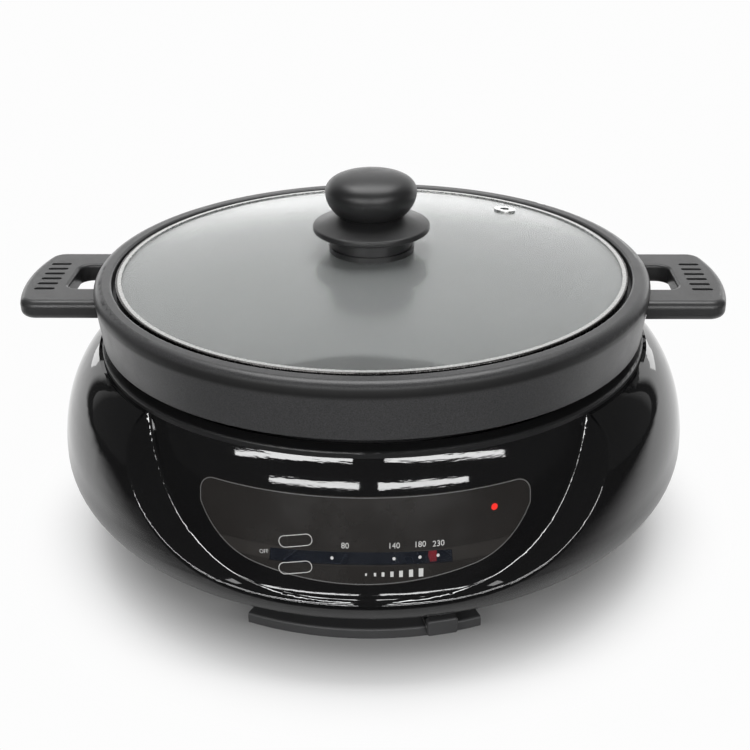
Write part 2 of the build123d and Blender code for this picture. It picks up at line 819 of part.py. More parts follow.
with BuildPart() as bottom_cover:
    with BuildSketch(Plane.XZ) as dish_section:
        with BuildLine():
            Polyline((0, cover_bottom), (cover_bottom_radius, cover_bottom),
                     (cover_top_radius, casing_bottom), (cover_top_radius - cover_wall, casing_bottom),
                     (cover_bottom_radius - cover_wall, cover_bottom + cover_floor),
                     (0, cover_bottom + cover_floor), close=True)
        make_face()
    revolve(axis=Axis.Z)
    fillet(bottom_cover.edges().filter_by(GeomType.CIRCLE).group_by(Axis.Z)[0], cover_edge)
    with BuildSketch(Plane.XY.offset(spigot_bottom)):
        Circle(cover_top_radius - cover_wall + spigot_overlap)
        Circle(mouth_radius - seat_gap - spigot_wall, mode=Mode.SUBTRACT)
    extrude(amount=casing_bottom - spigot_bottom)
    with BuildSketch(Plane.XY.offset(spigot_bottom)):
        Circle(mouth_radius - seat_gap)
        Circle(mouth_radius - seat_gap - spigot_wall, mode=Mode.SUBTRACT)
    extrude(amount=casing_bottom + spigot_rise - spigot_bottom)
    add(guard.part)
    add(lever_slot.part, mode=Mode.SUBTRACT)
    with BuildSketch(Plane.XY.offset(cover_bottom)):
        with PolarLocations(boss_circle, len(diagonals), start_angle=diagonals[0]):
            Circle(seat_radius)
    extrude(amount=boss_bottom - cover_bottom)
    with BuildSketch(Plane.XY.offset(cover_bottom)):
        for angle in post_angles:
            with Locations(from_front(post_circle, angle)):
                Circle(post_radius)
    extrude(amount=shield_floor - cover_bottom)
    with BuildSketch(Plane.XY.offset(shield_floor)):
        for angle in post_angles:
            with Locations(from_front(post_circle, angle)):
                Circle(shield_screw_radius + running_gap)
    extrude(amount=-2 * shield_screw_length, mode=Mode.SUBTRACT)
    with BuildSketch(Plane.XY.offset(cover_bottom)):
        with PolarLocations(boss_circle, len(diagonals), start_angle=diagonals[0]):
            Circle(base_screw_radius + fit_gap)
    extrude(amount=boss_bottom - cover_bottom, mode=Mode.SUBTRACT)
    with BuildSketch(Plane.XY.offset(cover_bottom)):
        with PolarLocations(boss_circle, len(diagonals), start_angle=diagonals[0]):
            Circle(base_screw_head_radius + 2 * fit_gap)
    extrude(amount=screw_seat - cover_bottom, mode=Mode.SUBTRACT)
    with BuildSketch(Plane.XY.offset(cover_bottom)):
        with PolarLocations(foot_circle, len(diagonals), start_angle=diagonals[0]):
            Circle(foot_radius + fit_gap)
    extrude(amount=foot_seat, mode=Mode.SUBTRACT)
    with BuildSketch(Plane.XY.offset(cover_bottom)):
        for circle in base_vent_circles:
            with PolarLocations(circle, base_vent_count, start_angle=180 / base_vent_count):
                SlotOverall(base_vent_length, base_vent_width)
    extrude(amount=cover_floor, mode=Mode.SUBTRACT)
save(bottom_cover, "bottom_cover")

diagonal_places = [from_front(boss_circle, angle) for angle in diagonals]
base_screws = pan_head_screws(diagonal_places, screw_seat, base_screw_head, -1, base_screw_head_radius,
                              base_screw_radius, base_screw_length)
save(base_screws, "base_screws")

with BuildPart() as feet:
    with BuildSketch():
        with PolarLocations(foot_circle, len(diagonals), start_angle=diagonals[0]):
            Circle(foot_radius - foot_edge)
    extrude(amount=foot_edge)
    with BuildSketch(Plane.XY.offset(foot_edge)):
        with PolarLocations(foot_circle, len(diagonals), start_angle=diagonals[0]):
            Circle(foot_radius)
    extrude(amount=cover_bottom + foot_seat - foot_edge)
save(feet, "feet")

# Temperature lever, carried on the thermostat's spindle
lever_angle = (pointer_angle + tab_angle) / 2
arm_end = tab_inner_radius + 0.55 * tab_thickness
tongue_width = 0.6 * tab_width
lever_plane = Plane(origin=(0, 0, arm_bottom), x_dir=(*from_front(1, lever_angle), 0), z_dir=(0, 0, 1))
with BuildPart() as lever_arm:
    with BuildSketch(lever_plane) as arm_outline:
        Circle(arm_hub_radius)
        with Locations((stalk_radius / 2, 0)):
            Rectangle(stalk_radius, arm_width)
        with Locations((stalk_radius - stalk_foot / 2, 0)):
            Rectangle(stalk_foot, 1.5 * arm_width)
        with Locations(((stalk_radius + arm_end) / 2, 0)):
            Rectangle(arm_end - stalk_radius, tongue_width)
        fillet(arm_outline.vertices(), arm_corner)
        Circle(spindle_radius + press_gap, mode=Mode.SUBTRACT)
        with GridLocations(stalk_radius / 5, 0, 3, 1):
            with Locations((stalk_radius / 2, 0)):
                SlotOverall(arm_width, arm_width / 3, mode=Mode.SUBTRACT)
    extrude(amount=arm_thickness)
save(lever_arm, "lever_arm")

tab_middle = (tab_bottom + tab_top) / 2
tab_plane = Plane(origin=(*from_front(tab_inner_radius, tab_angle), tab_middle),
                  x_dir=(*from_front(1, tab_angle + 90), 0), z_dir=(*from_front(1, tab_angle), 0))
with BuildPart() as lever_tab:
    with BuildSketch(tab_plane):
        RectangleRounded(tab_width, tab_top - tab_bottom, tab_corner)
    extrude(amount=tab_thickness)
    fillet(lever_tab.faces().sort_by(Axis((0, 0, 0), tab_plane.z_dir))[-1].edges(), tab_edge)
    with BuildSketch(lever_plane.offset(-running_gap)):
        with Locations(((stalk_radius + arm_end) / 2, 0)):
            Rectangle(arm_end - stalk_radius + 2 * running_gap, tongue_width + 2 * running_gap)
    extrude(amount=arm_thickness + 2 * running_gap, mode=Mode.SUBTRACT)
save(lever_tab, "lever_tab")

stalk_inner = stalk_radius - stalk_foot
head_back = pointer_radius - pointer_depth
with BuildPart() as pointer_stalk:
    with BuildSketch(radial_plane(pointer_angle)):
        with BuildLine():
            Polyline((stalk_inner, arm_top), (stalk_radius, arm_top), (stalk_radius, stalk_bend),
                     (pointer_radius, pointer_bottom), (head_back - stalk_thickness, pointer_bottom),
                     (stalk_radius - stalk_thickness, stalk_bend + stalk_thickness),
                     (stalk_inner, arm_top + stalk_thickness), close=True)
        make_face()
    extrude(amount=pointer_width / 2, both=True)
save(pointer_stalk, "pointer_stalk")

with BuildPart() as pointer:
    with BuildSketch(radial_plane(pointer_angle)) as pointer_section:
        with BuildLine():
            Polyline((head_back - stalk_thickness, pointer_bottom), (pointer_radius, pointer_bottom),
                     (pointer_radius, pointer_top), (head_back, pointer_top), close=True)
        make_face()
    extrude(amount=pointer_width / 2, both=True)
save(pointer, "pointer")

with BuildPart() as spindle:
    with BuildSketch(Plane.XY.offset(spindle_bottom)):
        Circle(spindle_radius)
    extrude(amount=spindle_top - spindle_bottom)
    with BuildSketch(Plane.XY.offset(arm_top)):
        Circle(spindle_collar_radius)
    extrude(amount=bracket_plate - seat_gap - arm_top)
    chamfer(spindle.edges().group_by(Axis.Z)[0], spindle_chamfer)
save(spindle, "thermostat_spindle")

with BuildPart() as circlip:
    with BuildSketch(Plane.XY.offset(arm_bottom - circlip_thickness)):
        Circle(circlip_radius)
        Circle(spindle_radius, mode=Mode.SUBTRACT)
        with Locations((0, circlip_radius)):
            Rectangle(spindle_radius, circlip_radius, mode=Mode.SUBTRACT)
    extrude(amount=circlip_thickness)
save(circlip, "spindle_clip")

# Appliance inlet: a shroud with two pins and its keeper plates
inlet_floor = inlet_face - inlet_depth
with BuildPart() as inlet_housing:
    with BuildSketch(rear_plane.offset(inlet_face - inlet_body_depth)):
        RectangleRounded(2 * (inlet_half - fit_gap), inlet_high - inlet_low - 2 * fit_gap,
                         inlet_corner - fit_gap)
    extrude(amount=2 * inlet_body_depth)
    add(belly(-seat_gap, casing_bottom, casing_top), mode=Mode.INTERSECT)
    with BuildSketch(rear_plane.offset(inlet_floor)):
        RectangleRounded(2 * (inlet_half - inlet_wall), inlet_high - inlet_low - 2 * inlet_wall,
                         inlet_corner - inlet_wall / 2)
    extrude(amount=2 * inlet_body_depth, mode=Mode.SUBTRACT)
    with BuildSketch(rear_plane.offset(inlet_floor)):
        with GridLocations(pin_spacing, 0, 2, 1):
            Circle(pin_tail_radius)
    extrude(amount=-inlet_body_depth, mode=Mode.SUBTRACT)
save(inlet_housing, "inlet_housing")

with BuildPart() as inlet_pins:
    with BuildSketch(rear_plane.offset(inlet_face - inlet_body_depth - pin_tail)):
        with GridLocations(pin_spacing, 0, 2, 1):
            Circle(pin_tail_radius)
    extrude(amount=inlet_body_depth - inlet_depth + pin_tail)
    with BuildSketch(rear_plane.offset(inlet_floor)):
        with GridLocations(pin_spacing, 0, 2, 1):
            Circle(pin_radius)
    extrude(amount=pin_length)
    fillet(inlet_pins.edges().group_by(Axis.Y)[-1], pin_tip_round)
save(inlet_pins, "inlet_pins")

keeper_spacing = 2 * (inlet_half - inlet_wall) - keeper_width - 2 * keeper_gap
with BuildPart() as keeper_plates:
    with BuildSketch(rear_plane.offset(inlet_floor)):
        with GridLocations(keeper_spacing, 0, 2, 1):
            Rectangle(keeper_width, keeper_height)
    extrude(amount=keeper_thickness)
save(keeper_plates, "keeper_plates")

# Wiring: inlet, thermal fuse, heater, thermostat and back
def wire(points):
    """A wire through these points, bent as gently as its runs allow."""
    radii = []
    for before, corner, after in zip(points, points[1:], points[2:]):
        arriving = Vector(*corner) - Vector(*before)
        leaving = Vector(*after) - Vector(*corner)
        half_turn = radians(arriving.get_angle(leaving)) / 2
        radii.append(0.45 * min(arriving.length, leaving.length) / tan(half_turn))
    with BuildPart() as run:
        with BuildLine() as route:
            if radii:
                FilletPolyline(*points, radius=radii)
            else:
                Line(*points)
        with BuildSketch(Plane(origin=route.line @ 0, z_dir=route.line % 0)):
            Circle(wire_radius)
        sweep()
    return run


tail_end = inlet_face - inlet_body_depth - pin_tail - running_gap
fuse_x, leg_y = heater_leg(1)
fuse_near = leg_y + heater_tube_radius + fuse_lead
fuse_far = fuse_near + fuse_length
thermostat_wire_height = thermostat_bottom + thermostat_height / 2
with BuildPart() as thermal_fuse:
    with BuildSketch(Plane(origin=(fuse_x, fuse_near, wire_height), z_dir=(0, 1, 0))):
        Circle(fuse_radius)
    extrude(amount=fuse_length)
    chamfer(thermal_fuse.edges().filter_by(GeomType.CIRCLE), fuse_chamfer)
save(thermal_fuse, "thermal_fuse")

save(wire([(-pin_spacing / 2, tail_end, inlet_middle),
           (-pin_spacing / 2, (2 * tail_end + fuse_far) / 3, inlet_middle),
           (fuse_x, (tail_end + 2 * fuse_far) / 3, wire_height),
           (fuse_x, fuse_far, wire_height)]), "wire_inlet_to_fuse")
save(wire([(fuse_x, fuse_near, wire_height),
           (fuse_x, leg_y + heater_tube_radius + running_gap, wire_height)]), "wire_fuse_to_heater")

return_x, return_y = heater_leg(-1)
side_entry = (thermostat_radius + running_gap) * sqrt(0.5)
save(wire([(return_x, return_y - heater_tube_radius - running_gap, wire_height),
           (return_x, post_circle, wire_height), (return_x, 2 * thermostat_radius, wire_height - wire_dip),
           (0, 1.5 * thermostat_radius, thermostat_wire_height),
           (0, thermostat_radius + running_gap, thermostat_wire_height)]), "wire_heater_to_thermostat")
save(wire([(pin_spacing / 2, tail_end, inlet_middle),
           (pin_spacing / 2, tail_end - fuse_lead, inlet_middle),
           (3 * pin_spacing / 2, tail_end - 4 * fuse_lead, wire_height),
           (3 * pin_spacing / 2, post_circle, wire_height - wire_dip),
           (2 * side_entry, 2 * side_entry, thermostat_wire_height),
           (side_entry, side_entry, thermostat_wire_height)]), "wire_thermostat_to_inlet")

# Pot
pot_floor_top = pot_floor_under + pot_floor
wall_lean = (pot_inside_top_radius - pot_floor_radius) / (ledge_height - pot_floor_top)
wall_across = pot_wall * sqrt(1 + wall_lean ** 2)


def pot_inside(height):
    """Radius of the pot's inner wall at a height, before its corners are rounded."""
    return pot_floor_radius + (height - pot_floor_top) * wall_lean


def skirt_at(height):
    """Outer radius of the pot's skirt at a height."""
    share = (height - pot_skirt_bottom) / (pot_rim_top - rim_crown - pot_skirt_bottom)
    return pot_skirt_radius + (pot_rim_radius - pot_skirt_radius) * share


with BuildPart() as ears:
    with BuildSketch(Plane.XY.offset(ear_bottom)):
        for side in (-1, 1):
            with GridLocations(0, 2 * ear_middle, 1, 2):
                with Locations((side * ear_reach / 2, 0)):
                    Rectangle(ear_reach, ear_width)
    extrude(amount=ear_thickness)
    fillet(ears.edges().filter_by(Axis.Z).group_by(
        lambda edge: round(abs(edge.center().X), 3))[-1], ear_corner)
    add(turned(lambda z: skirt_at(z) - pot_skirt_wall / 2, ear_bottom, ear_top), mode=Mode.SUBTRACT)
    with BuildSketch(Plane.XY.offset(ear_bottom)):
        with GridLocations(2 * handle_screw_place, 2 * ear_middle, 2, 2):
            Circle(handle_screw_radius + fit_gap)
    extrude(amount=ear_thickness, mode=Mode.SUBTRACT)

with BuildPart() as pot:
    with BuildSketch(Plane.XZ) as pot_section:
        with BuildLine():
            Polyline((0, pot_floor_under), (pot_inside(pot_floor_under) + wall_across, pot_floor_under),
                     (pot_inside(pot_web_height) + wall_across, pot_web_height),
                     (skirt_at(pot_web_height) - pot_skirt_wall, pot_web_height),
                     (pot_skirt_radius - pot_skirt_wall, pot_skirt_bottom),
                     (pot_skirt_radius, pot_skirt_bottom),
                     (pot_rim_radius, pot_rim_top - rim_crown), (pot_rim_radius, pot_rim_top),
                     (ledge_radius, pot_rim_top), (ledge_radius, ledge_height),
                     (pot_inside_top_radius, ledge_height), (pot_floor_radius, pot_floor_top),
                     (0, pot_floor_top), close=True)
        make_face()
        fillet(pot_section.vertices().sort_by_distance((pot_floor_radius, pot_floor_top))[0], pot_corner)
        fillet(pot_section.vertices().sort_by_distance(
            (pot_inside(pot_floor_under) + wall_across, pot_floor_under))[0], pot_corner + pot_wall)
        fillet(pot_section.vertices().sort_by_distance((pot_rim_radius, pot_rim_top))[0], rim_round)
        fillet(pot_section.vertices().group_by(Axis.Y)[-1].sort_by(Axis.X)[0], rim_inner_round)
    revolve(axis=Axis.Z)
    add(ears.part)
save(pot, "pot")

# Pot handles
handle_shoulder = handle_tip - handle_tip_arc + sqrt(handle_tip_arc ** 2 - handle_half ** 2)
with BuildPart() as handle_right:
    with BuildSketch(Plane.XY.offset(handle_bottom)) as handle_outline:
        with BuildLine():
            ThreePointArc((handle_shoulder, -handle_half), (handle_tip, 0), (handle_shoulder, handle_half))
            Polyline((handle_shoulder, handle_half), (pot_floor_radius, handle_half),
                     (pot_floor_radius, -handle_half), (handle_shoulder, -handle_half))
        make_face()
        fillet(handle_outline.vertices().group_by(Axis.X)[-1], handle_corner)
    extrude(amount=handle_thickness)
    fillet(handle_right.edges().filter_by(Plane.XY).filter_by(
        lambda edge: edge.center().X > pot_floor_radius + 1), handle_edge_round)
    with BuildSketch(Plane.XY.offset(handle_bottom)) as finger_gap:
        with Locations(((pot_floor_radius + grip_inner) / 2, 0)):
            Rectangle(grip_inner - pot_floor_radius, 2 * grip_half)
        fillet(finger_gap.vertices().group_by(Axis.X)[-1], grip_corner)
    extrude(amount=handle_thickness, mode=Mode.SUBTRACT)
    add(turned(lambda z: skirt_at(z) + fit_gap, handle_bottom - 1, handle_top + 1), mode=Mode.SUBTRACT)
    fillet(handle_right.edges().filter_by(Plane.XY).filter_by(
        lambda edge: pot_rim_radius + 1 < edge.center().X < grip_inner + 1
        and abs(edge.center().Y) < grip_half + 1), handle_edge_round / 2)
    with BuildSketch(Plane.XY.offset(handle_top)):
        with Locations(((groove_start + groove_end) / 2, 0)):
            with GridLocations(0, groove_pitch, 1, groove_count):
                SlotOverall(groove_end - groove_start, groove_width)
    extrude(amount=-groove_depth, mode=Mode.SUBTRACT)
    with BuildSketch(Plane.XY.offset(handle_bottom)):
        with GridLocations(0, 2 * ear_middle, 1, 2):
            with Locations((ear_reach / 2, 0)):
                RectangleRounded(ear_reach + 2 * ear_space, ear_width + 2 * ear_space, ear_corner)
    extrude(amount=ear_top - handle_bottom, mode=Mode.SUBTRACT)
    with BuildSketch(Plane.XY.offset(ear_top)):
        with Locations((handle_screw_place, 0)):
            with GridLocations(0, 2 * ear_middle, 1, 2):
                Circle(handle_screw_radius)
    extrude(amount=handle_screw_reach + handle_screw_space, mode=Mode.SUBTRACT)
save(handle_right, "handle_right")

with BuildPart() as handle_left:
    add(mirror(handle_right.part, about=Plane.YZ))
save(handle_left, "handle_left")

screw_places = [(x * handle_screw_place, y * ear_middle) for x in (-1, 1) for y in (-1, 1)]
handle_screws = pan_head_screws(screw_places, ear_bottom, handle_screw_head, -1,
                                handle_screw_head_radius, handle_screw_radius - running_gap,
                                ear_thickness + handle_screw_reach)
save(handle_screws, "handle_screws")

# Lid
glass_sphere = (glass_radius ** 2 + glass_rise ** 2) / (2 * glass_rise)


def glass_top(radius):
    """Height of the glass's upper face at a radius."""
    return glass_crown - glass_sphere + sqrt(glass_sphere ** 2 - radius ** 2)


vent_place = from_front(vent_circle, vent_angle)
vent_normal = Vector(*from_front(vent_circle / glass_sphere, vent_angle), 1).normalized()
vent_plane = Plane(origin=(*vent_place, glass_top(vent_circle)), z_dir=vent_normal)
with BuildPart() as lid_glass:
    with BuildSketch(Plane.XZ):
        with BuildLine():
            ThreePointArc((0, glass_crown), (glass_radius / 2, glass_top(glass_radius / 2)),
                          (glass_radius, glass_edge_top))
            Polyline((glass_radius, glass_edge_top), (glass_radius, glass_edge_top - glass_thickness))
            ThreePointArc((glass_radius, glass_edge_top - glass_thickness),
                          (glass_radius / 2, glass_top(glass_radius / 2) - glass_thickness),
                          (0, glass_crown - glass_thickness))
            Polyline((0, glass_crown - glass_thickness), (0, glass_crown))
        make_face()
    revolve(axis=Axis.Z)
    fillet(lid_glass.edges().filter_by(GeomType.CIRCLE), glass_edge_round)
    with BuildSketch(Plane.XY.offset(glass_crown)):
        Circle(lid_hole_radius)
    extrude(amount=-2 * glass_thickness, both=True, mode=Mode.SUBTRACT)
    with BuildSketch(vent_plane):
        Circle(vent_radius + vent_wall + fit_gap)
    extrude(amount=2 * glass_thickness, both=True, mode=Mode.SUBTRACT)
save(lid_glass, "lid_glass")

lid_ring_inner = lid_ring_radius - lid_ring_lip
channel_radius = lid_ring_radius - lid_ring_sheet
with BuildPart() as lid_ring:
    with BuildSketch(Plane.XZ) as channel:
        with BuildLine():
            Polyline((lid_ring_inner + lid_ring_hem, lid_ring_bottom), (lid_ring_radius, lid_ring_bottom),
                     (lid_ring_radius, glass_edge_top + lid_ring_rise),
                     (lid_ring_inner, glass_top(lid_ring_inner) + lid_ring_sheet),
                     (lid_ring_inner, glass_top(lid_ring_inner) + running_gap),
                     (channel_radius, glass_edge_top + running_gap),
                     (channel_radius, lid_ring_bottom + lid_ring_sheet),
                     (lid_ring_inner + lid_ring_hem, lid_ring_bottom + lid_ring_sheet), close=True)
        make_face()
        fillet(channel.vertices().group_by(Axis.X)[-1], 0.7 * lid_ring_sheet)
    revolve(axis=Axis.Z)
save(lid_ring, "lid_ring")

vent_depth = glass_thickness + 2 * running_gap + vent_flange
with BuildPart() as vent_grommet:
    with BuildSketch(vent_plane.offset(-vent_depth)):
        Circle(vent_radius + vent_wall)
    extrude(amount=vent_depth + vent_flange)
    with BuildSketch(vent_plane.offset(2 * running_gap)):
        Circle(vent_flange_radius)
    extrude(amount=vent_flange)
    with BuildSketch(vent_plane.offset(-vent_depth)):
        Circle(vent_flange_radius - vent_lip)
    extrude(amount=vent_flange)
    with BuildSketch(vent_plane.offset(-vent_depth)):
        Circle(vent_radius)
    extrude(amount=2 * vent_depth, mode=Mode.SUBTRACT)
save(vent_grommet, "vent_grommet")

# Knob and the finger guard under it
screw_bore = knob_screw_radius + fit_gap
pedestal_foot = glass_crown + 2 * running_gap
with BuildPart() as knob_base:
    with BuildSketch(Plane.XZ) as base_section:
        with BuildLine():
            Polyline((flange_waist_radius, flange_waist_height), (screw_bore, flange_waist_height),
                     (screw_bore, pedestal_foot), (pedestal_radius, pedestal_foot),
                     (pedestal_radius, pedestal_foot + pedestal_step_rise),
                     (pedestal_radius - pedestal_step, pedestal_foot + pedestal_step_rise),
                     (pedestal_radius - pedestal_step, pedestal_top),
                     (flange_radius - flange_edge_height, flange_edge),
                     (flange_radius, flange_edge), (flange_radius, flange_edge + flange_edge_height))
            ThreePointArc((flange_radius, flange_edge + flange_edge_height),
                          (0.6 * flange_radius + 0.4 * flange_waist_radius,
                           0.68 * (flange_edge + flange_edge_height) + 0.32 * flange_waist_height),
                          (flange_waist_radius, flange_waist_height))
        make_face()
    revolve(axis=Axis.Z)
    fillet(knob_base.edges().filter_by(GeomType.CIRCLE).filter_by(
        lambda edge: edge.radius > flange_radius - running_gap), flange_edge_round)
save(knob_base, "knob_base")

bore_top = knob_screw_top + knob_screw_space
with BuildPart() as knob:
    with BuildSketch(Plane.XZ):
        with BuildLine():
            Spline((knob_foot_radius, knob_foot), (knob_radius, knob_widest), (0, knob_top),
                   tangents=((1, 0.55), (-1, 0)), tangent_scalars=(1.0, 1.7))
            Polyline((0, knob_top), (0, bore_top), (screw_bore, bore_top),
                     (screw_bore, knob_foot), (knob_foot_radius, knob_foot))
        make_face()
    revolve(axis=Axis.Z)
save(knob, "knob")

washer_bottom = glass_crown - glass_thickness - washer_thickness - 2 * running_gap
with BuildPart() as knob_washer:
    with BuildSketch(Plane.XY.offset(washer_bottom)):
        Circle(washer_radius)
        Circle(screw_bore, mode=Mode.SUBTRACT)
    extrude(amount=washer_thickness)
save(knob_washer, "knob_washer")

knob_screw = pan_head_screws([(0, 0)], washer_bottom, knob_screw_head, -1, knob_screw_head_radius,
                             knob_screw_radius, knob_screw_top - washer_bottom)
save(knob_screw, "knob_screw")
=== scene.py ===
"""Looks of the electric hot plate: materials, markings, floor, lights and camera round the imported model."""
import json
import math

import bmesh
import bpy
from mathutils import Matrix, Vector

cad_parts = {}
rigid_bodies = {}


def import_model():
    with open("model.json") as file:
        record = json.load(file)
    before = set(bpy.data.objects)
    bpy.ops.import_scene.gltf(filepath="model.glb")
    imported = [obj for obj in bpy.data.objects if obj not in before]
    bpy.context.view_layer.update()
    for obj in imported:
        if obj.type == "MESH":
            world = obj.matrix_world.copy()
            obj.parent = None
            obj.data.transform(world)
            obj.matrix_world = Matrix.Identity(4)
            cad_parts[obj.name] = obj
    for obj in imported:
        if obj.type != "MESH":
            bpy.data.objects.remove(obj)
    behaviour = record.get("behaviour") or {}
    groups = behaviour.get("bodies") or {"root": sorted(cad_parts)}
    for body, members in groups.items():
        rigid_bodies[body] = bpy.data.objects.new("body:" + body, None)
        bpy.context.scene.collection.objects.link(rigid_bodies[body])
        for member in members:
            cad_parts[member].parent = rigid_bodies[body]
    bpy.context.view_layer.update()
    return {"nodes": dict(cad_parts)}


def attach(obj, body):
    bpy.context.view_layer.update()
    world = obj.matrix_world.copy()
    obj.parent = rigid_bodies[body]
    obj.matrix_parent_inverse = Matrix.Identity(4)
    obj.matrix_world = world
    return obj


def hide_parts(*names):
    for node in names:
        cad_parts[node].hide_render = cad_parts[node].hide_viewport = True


for leftover in list(bpy.data.objects):
    bpy.data.objects.remove(leftover)

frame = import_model()
NODES = frame["nodes"]

# Sizes that the pieces made here share with the CAD model, in metres; angles in degrees round the front
CASING_TOP = 0.1195
FACET_TOP_RADIUS = 0.158
FACET_SLOPE = math.tan(math.radians(17.2))
PANEL_FLOOR, PANEL_TOP = 0.0585, 0.1013
PANEL_CORNER, PANEL_DEPTH = 0.008, 0.0014
CHEEK_HALF, CHEEK_HEIGHT = 0.055, 0.0644  # the panel's foot arc ends here
SHOULDER_HALF, SHOULDER_HEIGHT = 0.0835, 0.088  # and its cheek arc here
WINDOW_START, WINDOW_END = -15.6, 14.6
WINDOW_MIDDLE, WINDOW_HEIGHT = 0.0715, 0.0062
WINDOW_DROOP, WINDOW_DROOP_ANGLE = 0.0013, 15.0  # how much lower the window hangs at that angle
LAMP_ANGLE, LAMP_HEIGHT, LAMP_RADIUS = 22.7, 0.0903, 0.0016

# Slopes of the facet that are relief in the casing's material: bends per metre, angles from the front
BROW_START, BROW_BEND = 0.0985, 10.6
CREASE_START, CREASE_BEND, CREASE_REACH = 0.0569, 50.0, 0.0034
RELIEF_FULL, RELIEF_END = math.radians(29.0), math.radians(42.0)

# Colours that depend on the place: painted shade under the pot's crown and round the lid ring's turn, a painted
# reflection at the lid's front, and the film's lighter band
SHADE_CHANNEL_HEIGHT, SHADE_CHANNEL_CORE, SHADE_CHANNEL_EDGE = 0.1549, 0.0014, 0.0042  # painted shade in the groove under the pot's crown
SHADE_CHANNEL_FRONT, SHADE_CHANNEL_SIDE = 0.09, 0.15
DARK_PATCH_AHEAD, DARK_PATCH_RADIUS, DARK_PATCH_EDGE = 0.225, 0.096, 0.002  # painted reflection: a clearer, dark-looking patch at the lid's front rim
BAND_MIDDLE, BAND_CORE, BAND_EDGE = WINDOW_MIDDLE - 0.0004, 0.0028, 0.0036  # lighter band of the film
RING_SHADE_RADIUS, RING_SHADE_EDGE = 0.1464, 0.0002  # painted shade: the lid ring's outer turn is coloured dark from this radius

# Printing on the panel and its painted edge highlight: (angle, height), and how far it stands proud of the film
PRINT_PROUD, FRAME_PROUD, EDGE_PROUD, PANE_PROUD = 0.00012, 0.00008, 0.00006, -0.0002
MARK_TILT = 11.0
FRAMES = {"pill_high": (-11.33, 0.07825), "pill_low": (-11.12, 0.0652)}
FRAME_HALF, FRAME_RADIUS, FRAME_LINE = 0.0086, 0.0029, 0.00035
NUMBERS = {"80": (-3.0, 0.07777), "140": (5.02, 0.0777), "180": (9.32, 0.07763), "230": (12.41, 0.07721)}
NUMBER_SIZE = 0.0028
OFF_PLACE, OFF_SIZE = (-16.65, 0.0709), 0.0019
DOTS = ((-5.12, 0.0715), (4.97, 0.07137), (9.22, 0.07135), (12.21, 0.07144))
DOT_RADIUS = 0.0008
BAR_ANGLES = (0.41, 1.86, 3.14, 4.58, 6.03, 7.65, 9.27)
BAR_HEIGHT = 0.0639
BAR_FIRST, BAR_GROWTH = (0.0009, 0.0012), (0.00022, 0.00046)  # width and height, and what each next bar adds

# Floor, wall and lamps
SHADOW_INNER, SHADOW_OUTER = 0.125, 0.182  # painted shadow: the paper's colour goes from dark by the object to light
GLOW_INNER, GLOW_OUTER = 0.146, 0.222  # and farther out it is plain white
PAPER_END, PAPER_LEAN, PAPER_BEND = -0.19, 0.16, 0.35  # its mirrored end: y straight ahead, then by |x| and x squared
PAPER_SOFT, PAPER_SOFTER = 0.03, 0.13  # half the end's softness straight ahead, and what |x| adds
WHITE = (0.98, 0.98, 0.98, 1.0)
TUBE_DISTANCE = 1.5
TUBE_ROWS = ((0.40, 0.09, 1.08, 0.085, 4.6), (0.85, 0.16, 1.9, 0.10, 10.0))  # height, two ends, thickness, watts

# Camera, fitted to the outline of the object
LENS, SENSOR = 58.99, 36.0
CAMERA_PLACE = (0.0012, -0.6743, 0.4152)
CAMERA_DIP, CAMERA_ROLL, CAMERA_ASIDE = (math.radians(angle) for angle in (25.92, -0.6, 1.8))


